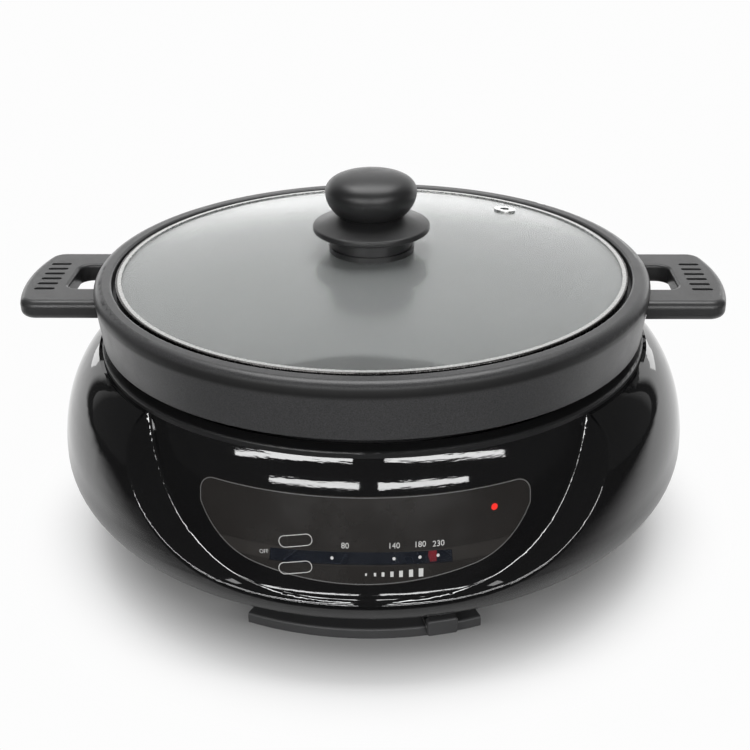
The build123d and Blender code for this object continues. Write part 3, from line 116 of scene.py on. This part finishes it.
# ---------------------------------------------------------------- node helpers
class Shader:
    """A material with a Principled shader and short calls for its procedural parts."""

    def __init__(self, name, color, roughness, metallic=0.0, specular=0.5, **sockets):
        self.material = bpy.data.materials.new(name)
        self.material.use_nodes = True
        self.tree = self.material.node_tree
        self.tree.nodes.clear()
        self.output = self.add("ShaderNodeOutputMaterial")
        self.main = self.add("ShaderNodeBsdfPrincipled")
        self.link(self.main.outputs[0], self.output.inputs["Surface"])
        self.set("Base Color", (*color, 1.0))
        self.set("Roughness", roughness)
        self.set("Metallic", metallic)
        self.set("Specular IOR Level", specular)
        for socket, value in sockets.items():
            self.set(socket.replace("_", " "), value)
        self.place = self.add("ShaderNodeTexCoord").outputs["Object"]
        self.material.diffuse_color = (*color, 1.0)

    def add(self, kind):
        return self.tree.nodes.new(kind)

    def link(self, source, target):
        self.tree.links.new(source, target)

    def set(self, socket, value):
        self.main.inputs[socket].default_value = value

    def noise(self, scale, detail=3.0, roughness=0.5, stretch=None):
        """Noise over the object's own place, stretched by three factors."""
        node = self.add("ShaderNodeTexNoise")
        node.inputs["Scale"].default_value = scale
        node.inputs["Detail"].default_value = detail
        node.inputs["Roughness"].default_value = roughness
        place = self.place
        if stretch:
            mapping = self.add("ShaderNodeMapping")
            mapping.inputs["Scale"].default_value = stretch
            self.link(place, mapping.inputs["Vector"])
            place = mapping.outputs["Vector"]
        self.link(place, node.inputs["Vector"])
        return node.outputs["Fac"]

    def axes(self):
        """The place's x, y and z."""
        node = self.add("ShaderNodeSeparateXYZ")
        self.link(self.place, node.inputs[0])
        return node.outputs

    def range(self, value, low, high, to_low, to_high, smooth=False):
        """A value mapped from one range to another and kept in it."""
        node = self.add("ShaderNodeMapRange")
        if smooth:
            node.interpolation_type = "SMOOTHSTEP"
        node.inputs["From Min"].default_value = low
        node.inputs["From Max"].default_value = high
        node.inputs["To Min"].default_value = to_low
        node.inputs["To Max"].default_value = to_high
        self.link(value, node.inputs["Value"])
        return node.outputs["Result"]

    def math(self, operation, first, second=None):
        """The operation's result; each operand is a number or another node's output."""
        node = self.add("ShaderNodeMath")
        node.operation = operation
        for slot, value in enumerate((first, second)):
            if value is None:
                continue
            if isinstance(value, (int, float)):
                node.inputs[slot].default_value = value
            else:
                self.link(value, node.inputs[slot])
        return node.outputs[0]

    def square(self, value):
        return self.math("MULTIPLY", value, value)

    def length(self, first, second):
        """Root of the sum of two squares."""
        return self.math("SQRT", self.math("ADD", self.square(first), self.square(second)))

    def rough(self, value):
        self.link(value, self.main.inputs["Roughness"])
        return self

    def tint(self, factor, first, second):
        """Base colour between two colours by a factor."""
        node = self.add("ShaderNodeMix")
        node.data_type = "RGBA"
        self.link(factor, node.inputs[0])
        node.inputs[6].default_value = (*first, 1.0)
        node.inputs[7].default_value = (*second, 1.0)
        self.link(node.outputs[2], self.main.inputs["Base Color"])
        return self

    def bump(self, height, strength, distance):
        """Surface relief of this depth in metres, added to what is there."""
        node = self.add("ShaderNodeBump")
        node.inputs["Strength"].default_value = strength
        node.inputs["Distance"].default_value = distance
        self.link(height, node.inputs["Height"])
        normal = self.main.inputs["Normal"]
        if normal.is_linked:
            self.link(normal.links[0].from_socket, node.inputs["Normal"])
        self.link(node.outputs["Normal"], normal)
        return self


def moulded(name, color, roughness, spread, grain_scale, grain_depth, specular=0.5, **sockets):
    """Moulded plastic or a coating: uneven sheen, faint colour drift and a fine grain."""
    shader = Shader(name, color, roughness, specular=specular, **sockets)
    drift = shader.noise(26.0, 4.0, 0.6)
    shader.tint(drift, [c * 0.85 for c in color], [min(1.0, c * 1.2) for c in color])
    shader.rough(shader.range(shader.noise(60.0, 5.0, 0.65), 0.3, 0.7, roughness - spread, roughness + spread))
    shader.bump(shader.noise(grain_scale, 2.0, 0.5), 0.6, grain_depth)
    return shader


def sheet_metal(name, color, roughness, stretch, depth=0.00002, anisotropy=0.3):
    """Metal with fine drawn lines along one direction."""
    shader = Shader(name, color, roughness, metallic=1.0, Anisotropic=anisotropy)
    lines = shader.noise(900.0, 2.0, 0.6, stretch)
    shader.rough(shader.range(lines, 0.3, 0.7, roughness - 0.07, roughness + 0.09))
    shader.tint(shader.noise(35.0, 4.0, 0.6), [c * 0.9 for c in color], color)
    shader.bump(lines, 0.4, depth)
    return shader


# ------------------------------------------------------------------- materials
def gloss_black():
    """Polished black casing with finger marks, dust and the facet's soft slopes as relief."""
    shader = Shader("gloss_black", (0.0045, 0.0045, 0.0048), 0.045)
    shader.set("Coat Weight", 0.4)
    shader.set("Coat Roughness", 0.03)
    shader.tint(shader.noise(30.0, 4.0), (0.0026, 0.0026, 0.0028), (0.004, 0.004, 0.0042))
    smear = shader.range(shader.noise(18.0, 5.0, 0.7), 0.35, 0.75, 0.02, 0.075)
    dust = shader.range(shader.noise(2400.0, 1.0, 0.4), 0.74, 0.86, 0.0, 0.25)
    shader.rough(shader.math("ADD", smear, dust))
    shader.bump(shader.noise(42.0, 2.0, 0.4), 0.12, 0.0004)
    shader.bump(shader.noise(260.0, 3.0, 0.6, (0.16, 0.16, 1.0)), 0.4, 0.00011)
    # The facet rolls back softly towards the ring and flares out again at its foot
    x, y, z = shader.axes()
    rise = shader.math("MAXIMUM", shader.math("SUBTRACT", z, BROW_START), 0.0)
    fall = shader.math("MULTIPLY", shader.square(rise), -0.5 * BROW_BEND)
    drop = shader.math("MAXIMUM", shader.math("SUBTRACT", CREASE_START, z), 0.0)
    drop = shader.math("MINIMUM", drop, CREASE_REACH)
    flare = shader.math("MULTIPLY", shader.square(drop), 0.5 * CREASE_BEND)
    turn = shader.math("ABSOLUTE", shader.math("ARCTAN2", x, shader.math("MULTIPLY", y, -1.0)))
    share = shader.range(turn, RELIEF_FULL, RELIEF_END, 1.0, 0.0, smooth=True)
    shader.bump(shader.math("MULTIPLY", shader.math("ADD", fall, flare), share), 1.0, 1.0)
    return shader


def pot_coating():
    """Grained black coating, with painted shade in the groove under the rim's crown."""
    color = (0.036, 0.036, 0.037)
    shader = Shader("pot_coating", color, 0.38)
    x, _, z = shader.axes()
    # Painted shade: darker colour in the groove under the crown, strongest at the front
    off = shader.math("ABSOLUTE", shader.math("SUBTRACT", z, SHADE_CHANNEL_HEIGHT))
    front = shader.range(shader.math("ABSOLUTE", x), SHADE_CHANNEL_FRONT, SHADE_CHANNEL_SIDE, 1.0, 0.1)
    channel_shade = shader.math("MULTIPLY", shader.range(off, SHADE_CHANNEL_CORE, SHADE_CHANNEL_EDGE, 0.92, 0.0, smooth=True), front)
    grain = shader.noise(1500.0, 2.0, 0.6)
    shader.tint(shader.math("MULTIPLY", grain, shader.math("SUBTRACT", 1.0, channel_shade)),
                [c * 0.05 for c in color], [c * 1.9 for c in color])
    sheen = shader.range(shader.noise(48.0, 5.0, 0.6), 0.3, 0.7, 0.3, 0.39)
    shader.rough(shader.math("ADD", sheen, shader.math("MULTIPLY", channel_shade, 0.4)))
    shader.bump(shader.noise(2600.0, 2.0, 0.55), 0.55, 0.00006)
    shader.bump(shader.noise(700.0, 2.0, 0.5), 0.3, 0.0001)
    return shader


def glass():
    """Hazed glass with a painted reflection: a clearer patch at the lid's front rim that shows dark."""
    shader = Shader("lid_glass", (0.93, 0.96, 0.95), 0.0, specular=0.28)
    shader.set("IOR", 1.5)
    shader.rough(shader.range(shader.noise(22.0, 5.0, 0.7), 0.3, 0.8, 0.19, 0.25))
    x, y, _ = shader.axes()
    # Painted reflection: in a disc at the front rim the glass lets more through and looks dark, like a dark
    # reflection
    reach = shader.length(x, shader.math("ADD", y, DARK_PATCH_AHEAD))
    clear = shader.range(reach, DARK_PATCH_RADIUS - DARK_PATCH_EDGE, DARK_PATCH_RADIUS + DARK_PATCH_EDGE, 0.98, 0.885)
    shader.link(clear, shader.main.inputs["Transmission Weight"])
    shader.bump(shader.noise(9.0, 2.0, 0.4), 0.05, 0.0006)
    return shader


def pane():
    """Bluish window, half see-through."""
    shader = Shader("window_pane", (0.012, 0.017, 0.032), 0.2)
    shader.tint(shader.noise(300.0, 3.0), (0.009, 0.0115, 0.018), (0.013, 0.0165, 0.025))
    shader.rough(shader.range(shader.noise(90.0, 4.0), 0.3, 0.7, 0.14, 0.26))
    shader.set("Alpha", 0.45)
    return shader


def panel_film():
    """Smoked film: brownish, with a faint lighter band at the window's height."""
    shader = Shader("panel_film", (0.03, 0.027, 0.025), 0.24)
    _, _, z = shader.axes()
    off = shader.math("ABSOLUTE", shader.math("SUBTRACT", z, BAND_MIDDLE))
    lighter = shader.range(off, BAND_CORE, BAND_EDGE, 0.6, 0.0)
    cloud = shader.range(shader.noise(22.0, 4.0, 0.6), 0.3, 0.7, 0.0, 0.35)
    shader.tint(shader.math("ADD", lighter, cloud), (0.013, 0.0117, 0.0108), (0.026, 0.0238, 0.022))
    shader.rough(shader.range(shader.noise(60.0, 5.0, 0.65), 0.3, 0.7, 0.15, 0.22))
    shader.bump(shader.noise(2200.0, 2.0, 0.5), 0.6, 0.00002)
    return shader


def ink(name, color):
    """Printed ink, a little uneven; in grey it paints the panel edge's highlight."""
    shader = Shader(name, color, 0.5, specular=0.4)
    shader.tint(shader.noise(2600.0, 3.0, 0.6), [c * 0.88 for c in color], color)
    shader.rough(shader.range(shader.noise(1500.0, 2.0), 0.3, 0.7, 0.42, 0.58))
    shader.bump(shader.noise(3000.0, 2.0), 0.3, 0.00001)
    return shader


def spun(name, color, roughness, rings=2200.0):
    """Metal turned about Z, with fine rings, so many to the metre."""
    shader = Shader(name, color, roughness, metallic=1.0)
    x, y, z = shader.axes()
    along = shader.math("ADD", shader.length(x, y), z)
    shader.rough(shader.range(shader.noise(600.0, 3.0), 0.3, 0.7, roughness - 0.05, roughness + 0.07))
    shader.tint(shader.noise(40.0, 3.0), [c * 0.92 for c in color], color)
    ripple = shader.math("SINE", shader.math("MULTIPLY", along, rings * 6.28))
    shader.bump(ripple, 0.15, 0.00001)
    return shader


def ring_steel():
    """Rolled ring: polished on top, with painted shade round its outer turn."""
    shader = Shader("ring_steel", (0.6, 0.6, 0.59), 0.25, metallic=1.0)
    x, y, _ = shader.axes()
    radius = shader.length(x, y)
    # Painted shade: from a slightly ragged radius outward the ring is coloured dark
    ragged_radius = shader.math("ADD", radius, shader.math("MULTIPLY", shader.noise(300.0, 3.0), 0.0003))
    outer = shader.range(ragged_radius, RING_SHADE_RADIUS - RING_SHADE_EDGE, RING_SHADE_RADIUS + RING_SHADE_EDGE, 0.0, 1.0)
    shader.tint(outer, (0.62, 0.62, 0.61), (0.09, 0.087, 0.085))
    shader.rough(shader.range(shader.noise(600.0, 3.0), 0.3, 0.7, 0.2, 0.32))
    rolling = shader.math("SINE", shader.math("MULTIPLY", radius, 14000.0))
    shader.bump(rolling, 0.15, 0.00001)
    return shader


def braid(name, color):
    """Woven sleeve: crossing ribs over a matte ground."""
    shader = Shader(name, color, 0.75)
    weave = shader.add("ShaderNodeTexWave")
    weave.inputs["Scale"].default_value = 900.0
    weave.inputs["Distortion"].default_value = 1.5
    shader.link(shader.place, weave.inputs["Vector"])
    shader.tint(weave.outputs["Fac"], [c * 0.75 for c in color], color)
    shader.bump(weave.outputs["Fac"], 0.6, 0.0001)
    return shader


def lamp_red():
    """Lit red lens."""
    shader = Shader("lamp_red", (0.72, 0.02, 0.015), 0.2)
    shader.set("Emission Color", (0.9, 0.03, 0.02, 1.0))
    shader.set("Emission Strength", 0.25)
    shader.tint(shader.noise(900.0, 2.0), (0.62, 0.015, 0.012), (0.8, 0.03, 0.02))
    shader.bump(shader.noise(1400.0, 1.0), 0.3, 0.00005)
    return shader


# Moulded: name, colour, roughness and its spread, the grain's scale and depth
MATERIALS = {
    "gloss_black": gloss_black(),
    "smoked_panel": moulded("smoked_panel", (0.014, 0.0125, 0.0115), 0.24, 0.03, 2200.0, 0.00002),
    "lamp_red": lamp_red(),
    "inner_plastic": moulded("inner_plastic", (0.045, 0.045, 0.045), 0.55, 0.06, 1400.0, 0.00008),
    "matte_black": moulded("matte_black", (0.012, 0.012, 0.0125), 0.34, 0.05, 1700.0, 0.00005),
    "shield_steel": sheet_metal("shield_steel", (0.58, 0.58, 0.57), 0.34, (1.0, 0.03, 1.0)),
    "screw_steel": spun("screw_steel", (0.52, 0.52, 0.53), 0.3, 3500.0),
    "heater_sheath": spun("heater_sheath", (0.17, 0.155, 0.145), 0.45, 1500.0),
    "ceramic_body": moulded("ceramic_body", (0.78, 0.76, 0.7), 0.3, 0.05, 900.0, 0.00005),
    "sensor_metal": spun("sensor_metal", (0.74, 0.74, 0.75), 0.25),
    "cover_black": moulded("cover_black", (0.036, 0.036, 0.037), 0.48, 0.06, 1500.0, 0.0001),
    "foot_rubber": moulded("foot_rubber", (0.03, 0.03, 0.03), 0.75, 0.06, 1100.0, 0.00012),
    "pin_metal": spun("pin_metal", (0.8, 0.77, 0.7), 0.16, 4000.0),
    "wire_cover": braid("wire_cover", (0.72, 0.72, 0.68)),
    # Painted light: the pointer glows, though it is no lamp, so that it shows lit behind the pane
    "pointer_red": moulded("pointer_red", (0.8, 0.04, 0.05), 0.35, 0.04, 1500.0, 0.00003,
                           Emission_Color=(0.9, 0.05, 0.06, 1.0), Emission_Strength=0.35),
    "pot_coating": pot_coating(),
    "phenolic": moulded("phenolic", (0.026, 0.026, 0.0265), 0.33, 0.05, 2300.0, 0.00007),
    "lid_glass": glass(),
    "ring_steel": ring_steel(),
    "seal_silicone": moulded("seal_silicone", (0.08, 0.08, 0.08), 0.6, 0.06, 1300.0, 0.00005),
}
FILM, PANE = panel_film().material, pane().material
INK = ink("ink_white", (0.5, 0.5, 0.49)).material
EDGE_HIGHLIGHT_PAINT = ink("edge_highlight_grey", (0.11, 0.11, 0.11)).material
KNOB = moulded("knob_phenolic", (0.011, 0.011, 0.0115), 0.4, 0.05, 2300.0, 0.00006, 0.6).material

for node in NODES.values():
    for slot in node.material_slots:
        slot.material = MATERIALS[slot.material.name.split(".")[0]].material
for name in ("knob", "knob_base"):
    for slot in NODES[name].material_slots:
        slot.material = KNOB


# ---------------------------------------------------------------- mesh helpers
def piece(name, mesh, material, body):
    """An object of this mesh, with this material, that rides on a body."""
    item = bpy.data.objects.new(name, mesh)
    bpy.context.scene.collection.objects.link(item)
    mesh.materials.append(material)
    mesh.shade_smooth()
    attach(item, body)
    return item


def on_panel(name, mesh, material):
    """A piece of the smoked panel, which the base carries."""
    return piece(name, mesh, material, "base")


def facet_radius(z):
    """Radius of the scooped front's cone at a height."""
    return FACET_TOP_RADIUS + (CASING_TOP - z) * FACET_SLOPE


def on_facet(x, z, proud=0.0):
    """The facet's point at this place across the front, standing proud by some depth."""
    radius = facet_radius(z)
    turn = math.asin(x / radius)
    return Vector(((radius + proud) * math.sin(turn), -(radius + proud) * math.cos(turn), z))


def arc(centre, radius, start, end, count):
    """Points of an arc, from one angle to another in degrees."""
    turns = [math.radians(start + (end - start) * step / count) for step in range(count + 1)]
    return [(centre[0] + radius * math.cos(turn), centre[1] + radius * math.sin(turn)) for turn in turns]


def circle(radius, corners):
    """A closed circle's corners."""
    return arc((0.0, 0.0), radius, 0.0, 360.0 - 360.0 / corners, corners - 1)


def panel_outline(inset=0.0):
    """The panel's outline across the front, drawn in by some distance."""
    sagitta = CHEEK_HEIGHT - PANEL_FLOOR
    foot_radius = (CHEEK_HALF ** 2 + sagitta ** 2) / (2 * sagitta)
    lean = math.degrees(math.asin(CHEEK_HALF / foot_radius))
    run, rise = SHOULDER_HALF - CHEEK_HALF, SHOULDER_HEIGHT - CHEEK_HEIGHT
    normal = (-math.sin(math.radians(lean)), math.cos(math.radians(lean)))
    cheek_radius = (run ** 2 + rise ** 2) / (2 * (run * normal[0] + rise * normal[1]))
    centre = (CHEEK_HALF + cheek_radius * normal[0], CHEEK_HEIGHT + cheek_radius * normal[1])
    end = math.degrees(math.atan2(SHOULDER_HEIGHT - centre[1], SHOULDER_HALF - centre[0]))
    half = arc((0.0, PANEL_FLOOR + foot_radius), foot_radius - inset, -90.0, -90.0 + lean, 14)
    half += arc(centre, cheek_radius - inset, lean - 90.0, end, 16)[1:]
    corner = (SHOULDER_HALF - PANEL_CORNER, PANEL_TOP - PANEL_CORNER)
    half += arc(corner, PANEL_CORNER - inset, 0.0, 90.0, 10)
    return half[1:] + [(-x, z) for x, z in reversed(half)]


def window_outline(margin=0.0):
    """The window's outline; it hangs a little lower towards its ends."""
    steps = 30
    rows = []
    for side in (-1, 1):
        row = []
        for step in range(steps + 1):
            turn = WINDOW_START + (WINDOW_END - WINDOW_START) * step / steps
            droop = WINDOW_DROOP * (turn / WINDOW_DROOP_ANGLE) ** 2
            z = WINDOW_MIDDLE - droop + side * (WINDOW_HEIGHT / 2 + margin)
            row.append((facet_radius(z) * math.sin(math.radians(turn)), z))
        rows.append(row)
    lower, upper = rows
    return lower + upper[::-1]


def facet_sheet(name, loops, depth=0.0, proud=0.0):
    """A mesh between closed outlines, wrapped on the facet and given a depth inward."""
    mesh = bpy.data.meshes.new(name)
    shape = bmesh.new()
    edges = []
    for loop in loops:
        corners = [shape.verts.new((x, 0.0, z)) for x, z in loop]
        edges += [shape.edges.new(pair) for pair in zip(corners, corners[1:] + corners[:1])]
    bmesh.ops.triangle_fill(shape, use_beauty=True, edges=edges, normal=(0.0, -1.0, 0.0))
    # Cut into strips, so that it follows the cone
    strip = 0.003
    low, high = min(x for x, _ in loops[0]), max(x for x, _ in loops[0])
    for step in range(1, int((high - low) / strip)):
        parts = list(shape.verts) + list(shape.edges) + list(shape.faces)
        bmesh.ops.bisect_plane(shape, geom=parts, plane_co=(low + strip * step, 0.0, 0.0), plane_no=(1.0, 0.0, 0.0))
    for corner in shape.verts:
        corner.co = on_facet(corner.co.x, corner.co.z, proud)
    if depth:
        grown = bmesh.ops.extrude_face_region(shape, geom=list(shape.faces))
        for corner in (part for part in grown["geom"] if isinstance(part, bmesh.types.BMVert)):
            corner.co -= Vector((corner.co.x, corner.co.y, 0.0)).normalized() * depth
        bmesh.ops.recalc_face_normals(shape, faces=list(shape.faces))
    shape.to_mesh(mesh)
    shape.free()
    return mesh


def sharpened(mesh, angle=35.0):
    """The mesh with sharp edges where its faces meet at more than this angle."""
    mesh.set_sharp_from_angle(angle=math.radians(angle))
    return mesh


def band(name, outline, width, proud):
    """A closed line of this width along an outline on the facet, drawn inward from it."""
    mesh = bpy.data.meshes.new(name)
    shape = bmesh.new()
    count = len(outline)
    rows = []
    for step in range(count):
        before, here, after = outline[step - 1], outline[step], outline[(step + 1) % count]
        way = Vector((after[0] - before[0], after[1] - before[1])).normalized()
        inner = (here[0] - way.y * width, here[1] + way.x * width)
        rows.append([shape.verts.new(on_facet(*here, proud)), shape.verts.new(on_facet(*inner, proud))])
    for step in range(count):
        first, second = rows[step], rows[(step + 1) % count]
        shape.faces.new((first[0], second[0], second[1], first[1]))
    shape.to_mesh(mesh)
    shape.free()
    return mesh


def refined(outline, step):
    """The outline with points no further apart than a step."""
    points = []
    for first, second in zip(outline, outline[1:] + outline[:1]):
        cuts = max(1, math.ceil(math.dist(first, second) / step))
        points += [tuple(Vector(first).lerp(Vector(second), cut / cuts)) for cut in range(cuts)]
    return points


def placed(outline, turn, z, tilt=0.0):
    """An outline about its own middle, set at an angle round the facet and a height, tilted by degrees."""
    x0 = facet_radius(z) * math.sin(math.radians(turn))
    cosine, sine = math.cos(math.radians(tilt)), math.sin(math.radians(tilt))
    return [(x0 + u * cosine - v * sine, z + u * sine + v * cosine) for u, v in outline]


def rounded_bar(half, radius):
    """A bar's outline with round ends."""
    return arc((half - radius, 0.0), radius, -90.0, 90.0, 8) + arc((radius - half, 0.0), radius, 90.0, 270.0, 8)


def box_outline(width, height):
    return [(-width / 2, -height / 2), (width / 2, -height / 2), (width / 2, height / 2), (-width / 2, height / 2)]


def legend(name, text, turn, z, height, tilt=0.0):
    """Printed characters of this height, wrapped on the facet."""
    capital_share = 0.7  # a capital's height in the font's size
    curve = bpy.data.curves.new(name, "FONT")
    curve.body = text
    curve.align_x = "CENTER"
    curve.size = height / capital_share
    curve.resolution_u = 3
    holder = bpy.data.objects.new(name + "_text", curve)
    bpy.context.scene.collection.objects.link(holder)
    bpy.context.view_layer.update()
    mesh = bpy.data.meshes.new_from_object(holder.evaluated_get(bpy.context.evaluated_depsgraph_get()))
    bpy.data.objects.remove(holder)
    heights = [corner.co.y for corner in mesh.vertices]
    middle = (min(heights) + max(heights)) / 2
    for corner in mesh.vertices:
        (across, up), = placed([(corner.co.x, corner.co.y - middle)], turn, z, tilt)
        corner.co = on_facet(across, up, PRINT_PROUD)
    mesh.materials.clear()
    mesh.name = name
    return on_panel(name, mesh, INK)


# --------------------------------------------------------------- control panel
film_mesh = facet_sheet("panel_film", [panel_outline(), window_outline()], PANEL_DEPTH)
film = on_panel("panel_film", sharpened(film_mesh), FILM)
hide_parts("control_panel")
pane_mesh = facet_sheet("window_pane", [window_outline(margin=0.0004)], depth=0.0006, proud=PANE_PROUD)
on_panel("window_pane", sharpened(pane_mesh), PANE)
# Painted highlight: a pale line round the panel's edge, where the edge would catch the light
edge_outline = refined(panel_outline(inset=0.0004), 0.002)
on_panel("panel_edge_highlight", band("panel_edge_highlight", edge_outline, 0.0004, EDGE_PROUD), EDGE_HIGHLIGHT_PAINT)
spot = facet_sheet("lamp_spot", [placed(circle(LAMP_RADIUS, 24), LAMP_ANGLE, LAMP_HEIGHT)], proud=FRAME_PROUD)
piece("lamp_spot", spot, MATERIALS["lamp_red"].material, "base")
for name, (turn, z) in FRAMES.items():
    outline = refined(placed(rounded_bar(FRAME_HALF, FRAME_RADIUS), turn, z, MARK_TILT), 0.001)
    on_panel(name, band(name, outline, FRAME_LINE, FRAME_PROUD), INK)
for text, (turn, z) in NUMBERS.items():
    legend("number_" + text, text, turn, z, NUMBER_SIZE)
legend("mark_off", "OFF", *OFF_PLACE, OFF_SIZE, MARK_TILT)
for number, (turn, z) in enumerate(DOTS):
    dot = facet_sheet(f"dot_{number}", [placed(circle(DOT_RADIUS, 12), turn, z)], proud=PRINT_PROUD)
    on_panel(f"dot_{number}", dot, INK)
for number, turn in enumerate(BAR_ANGLES):
    width, height = (first + growth * number for first, growth in zip(BAR_FIRST, BAR_GROWTH))
    bar = facet_sheet(f"bar_{number}", [placed(box_outline(width, height), turn, BAR_HEIGHT)], proud=PRINT_PROUD)
    on_panel(f"bar_{number}", bar, INK)


# ----------------------------------------------------------- floor and backdrop
def stage_material():
    """White paper with a painted shadow in its colour by the object: the rays that see it get plain white beyond the
    shadow, mirrors get its glow with painted shade.
    """
    shader = Shader("paper", (0.93, 0.93, 0.93), 0.9, specular=0.0)
    rays = shader.add("ShaderNodeLightPath").outputs
    seen = shader.math("MAXIMUM", rays["Is Camera Ray"], rays["Is Transmission Ray"])
    glossy = rays["Is Glossy Ray"]
    x, y, z = shader.axes()
    radius = shader.length(x, y)
    fibres = shader.math("MULTIPLY", shader.noise(3.0, 3.0), 0.02)
    # Painted shadow: the paper's colour is dark by the object and light farther out
    shadow_fade = shader.range(radius, SHADOW_INNER, SHADOW_OUTER, 0.0, 0.98)
    shader.tint(shader.math("ADD", shadow_fade, fibres), (0.34, 0.34, 0.34), (0.935, 0.935, 0.935))
    # Mirrored, the paper ends in a soft line that runs outward and back on both sides
    side = shader.math("ABSOLUTE", x)
    lean = shader.math("MULTIPLY", side, PAPER_LEAN)
    bend = shader.math("MULTIPLY", shader.square(side), PAPER_BEND)
    edge = shader.math("ADD", shader.math("ADD", lean, bend), PAPER_END)
    soft = shader.math("ADD", shader.math("MULTIPLY", side, PAPER_SOFTER), PAPER_SOFT)
    past = shader.math("DIVIDE", shader.math("SUBTRACT", y, edge), soft)
    paper = shader.range(past, -1.0, 1.0, 0.05, 1.0, smooth=True)
    # and has painted shade by the object and high up on the wall
    shade = shader.math("MULTIPLY", paper, shader.range(radius, 0.15, 0.27, 0.12, 1.0))
    shade = shader.math("MULTIPLY", shade, shader.range(z, 1.35, 1.6, 1.0, 0.3))
    glow = shader.add("ShaderNodeEmission")
    glow.inputs["Color"].default_value = WHITE
    shader.link(shader.math("MAXIMUM", seen, shader.math("MULTIPLY", glossy, shade)), glow.inputs["Strength"])
    far = shader.range(radius, GLOW_INNER, GLOW_OUTER, 0.0, 1.0, smooth=True)
    mix = shader.add("ShaderNodeMixShader")
    shader.link(shader.math("MAXIMUM", shader.math("MULTIPLY", seen, far), glossy), mix.inputs[0])
    shader.link(shader.main.outputs[0], mix.inputs[1])
    shader.link(glow.outputs[0], mix.inputs[2])
    shader.link(mix.outputs[0], shader.output.inputs["Surface"])
    return shader.material


def sweep_floor():
    """A floor that curves up into a wall behind the object."""
    half, front, back, bend, height, near = 2.6, -1.1, 1.7, 0.7, 2.4, 0.4
    outline = [(front, 0.0), (-near, 0.0), (near, 0.0)]
    outline += arc((back - bend, bend), bend, -90.0, 0.0, 15)
    outline += [(back, height)]
    mesh = bpy.data.meshes.new("floor")
    shape = bmesh.new()
    rows = []
    for x in (-half, -half / 2, 0.0, half / 2, half):
        rows.append([shape.verts.new((x, y, z)) for y, z in outline])
    for left, right in zip(rows, rows[1:]):
        for step in range(len(outline) - 1):
            shape.faces.new((left[step], right[step], right[step + 1], left[step + 1]))
    shape.to_mesh(mesh)
    shape.free()
    floor = bpy.data.objects.new("floor", mesh)
    bpy.context.scene.collection.objects.link(floor)
    mesh.materials.append(stage_material())
    mesh.shade_smooth()


sweep_floor()


# -------------------------------------------------------------------- lights
def world():
    """Dim towards the front and bright from behind; seen straight, it goes on as the floor's white."""
    setting = bpy.data.worlds.new("studio")
    bpy.context.scene.world = setting
    setting.use_nodes = True
    nodes, links = setting.node_tree.nodes, setting.node_tree.links
    nodes.clear()
    direction = nodes.new("ShaderNodeTexCoord")
    split = nodes.new("ShaderNodeSeparateXYZ")
    links.new(direction.outputs["Generated"], split.inputs[0])
    depth = nodes.new("ShaderNodeMapRange")
    for socket, value in (("From Min", 0.5), ("From Max", 0.75), ("To Min", 0.09), ("To Max", 0.95)):
        depth.inputs[socket].default_value = value
    links.new(split.outputs[1], depth.inputs["Value"])
    room = nodes.new("ShaderNodeBackground")
    room.inputs["Color"].default_value = (1.0, 1.0, 1.0, 1.0)
    links.new(depth.outputs["Result"], room.inputs["Strength"])
    plain = nodes.new("ShaderNodeBackground")
    plain.inputs["Color"].default_value = WHITE
    mix = nodes.new("ShaderNodeMixShader")
    links.new(nodes.new("ShaderNodeLightPath").outputs["Is Camera Ray"], mix.inputs[0])
    links.new(room.outputs[0], mix.inputs[1])
    links.new(plain.outputs[0], mix.inputs[2])
    links.new(mix.outputs[0], nodes.new("ShaderNodeOutputWorld").inputs["Surface"])


def lamp(name, place, aim, width, height, power):
    """A rectangular lamp that faces a point."""
    light = bpy.data.lights.new(name, "AREA")
    light.shape = "RECTANGLE"
    light.size = width
    light.size_y = height
    light.energy = power
    item = bpy.data.objects.new(name, light)
    bpy.context.scene.collection.objects.link(item)
    item.location = place
    item.rotation_euler = (Vector(aim) - Vector(place)).to_track_quat("-Z", "Y").to_euler()


world()
lamp("top_box", (0.0, 0.35, 1.9), (0.0, 0.0, 0.1), width=1.8, height=1.2, power=34.0)
lamp("back_box", (0.0, 1.45, 0.22), (0.0, 0.0, 0.17), width=3.0, height=0.34, power=5.0)
# Two rows of two tubes over the front
for row, (z, inner, outer, thickness, power) in enumerate(TUBE_ROWS):
    for side in (-1, 1):
        x = side * (inner + outer) / 2
        lamp(f"tube_{row}_{side}", (x, -TUBE_DISTANCE, z), (x, 0.0, 0.1), outer - inner, thickness, power)


# -------------------------------------------------------------------- camera
def camera():
    """The photo's view, turned a little about the object."""
    lens = bpy.data.cameras.new("camera")
    lens.lens = LENS
    lens.sensor_width = SENSOR
    lens.clip_start = 0.01
    item = bpy.data.objects.new("camera", lens)
    bpy.context.scene.collection.objects.link(item)
    aside = Matrix.Rotation(CAMERA_ASIDE, 4, "Z")
    turn = Matrix.Rotation(math.pi / 2 - CAMERA_DIP, 4, "X") @ Matrix.Rotation(CAMERA_ROLL, 4, "Z")
    item.matrix_world = aside @ Matrix.Translation(CAMERA_PLACE) @ turn
    bpy.context.scene.camera = item


camera()
bpy.context.scene.view_settings.view_transform = "Standard"
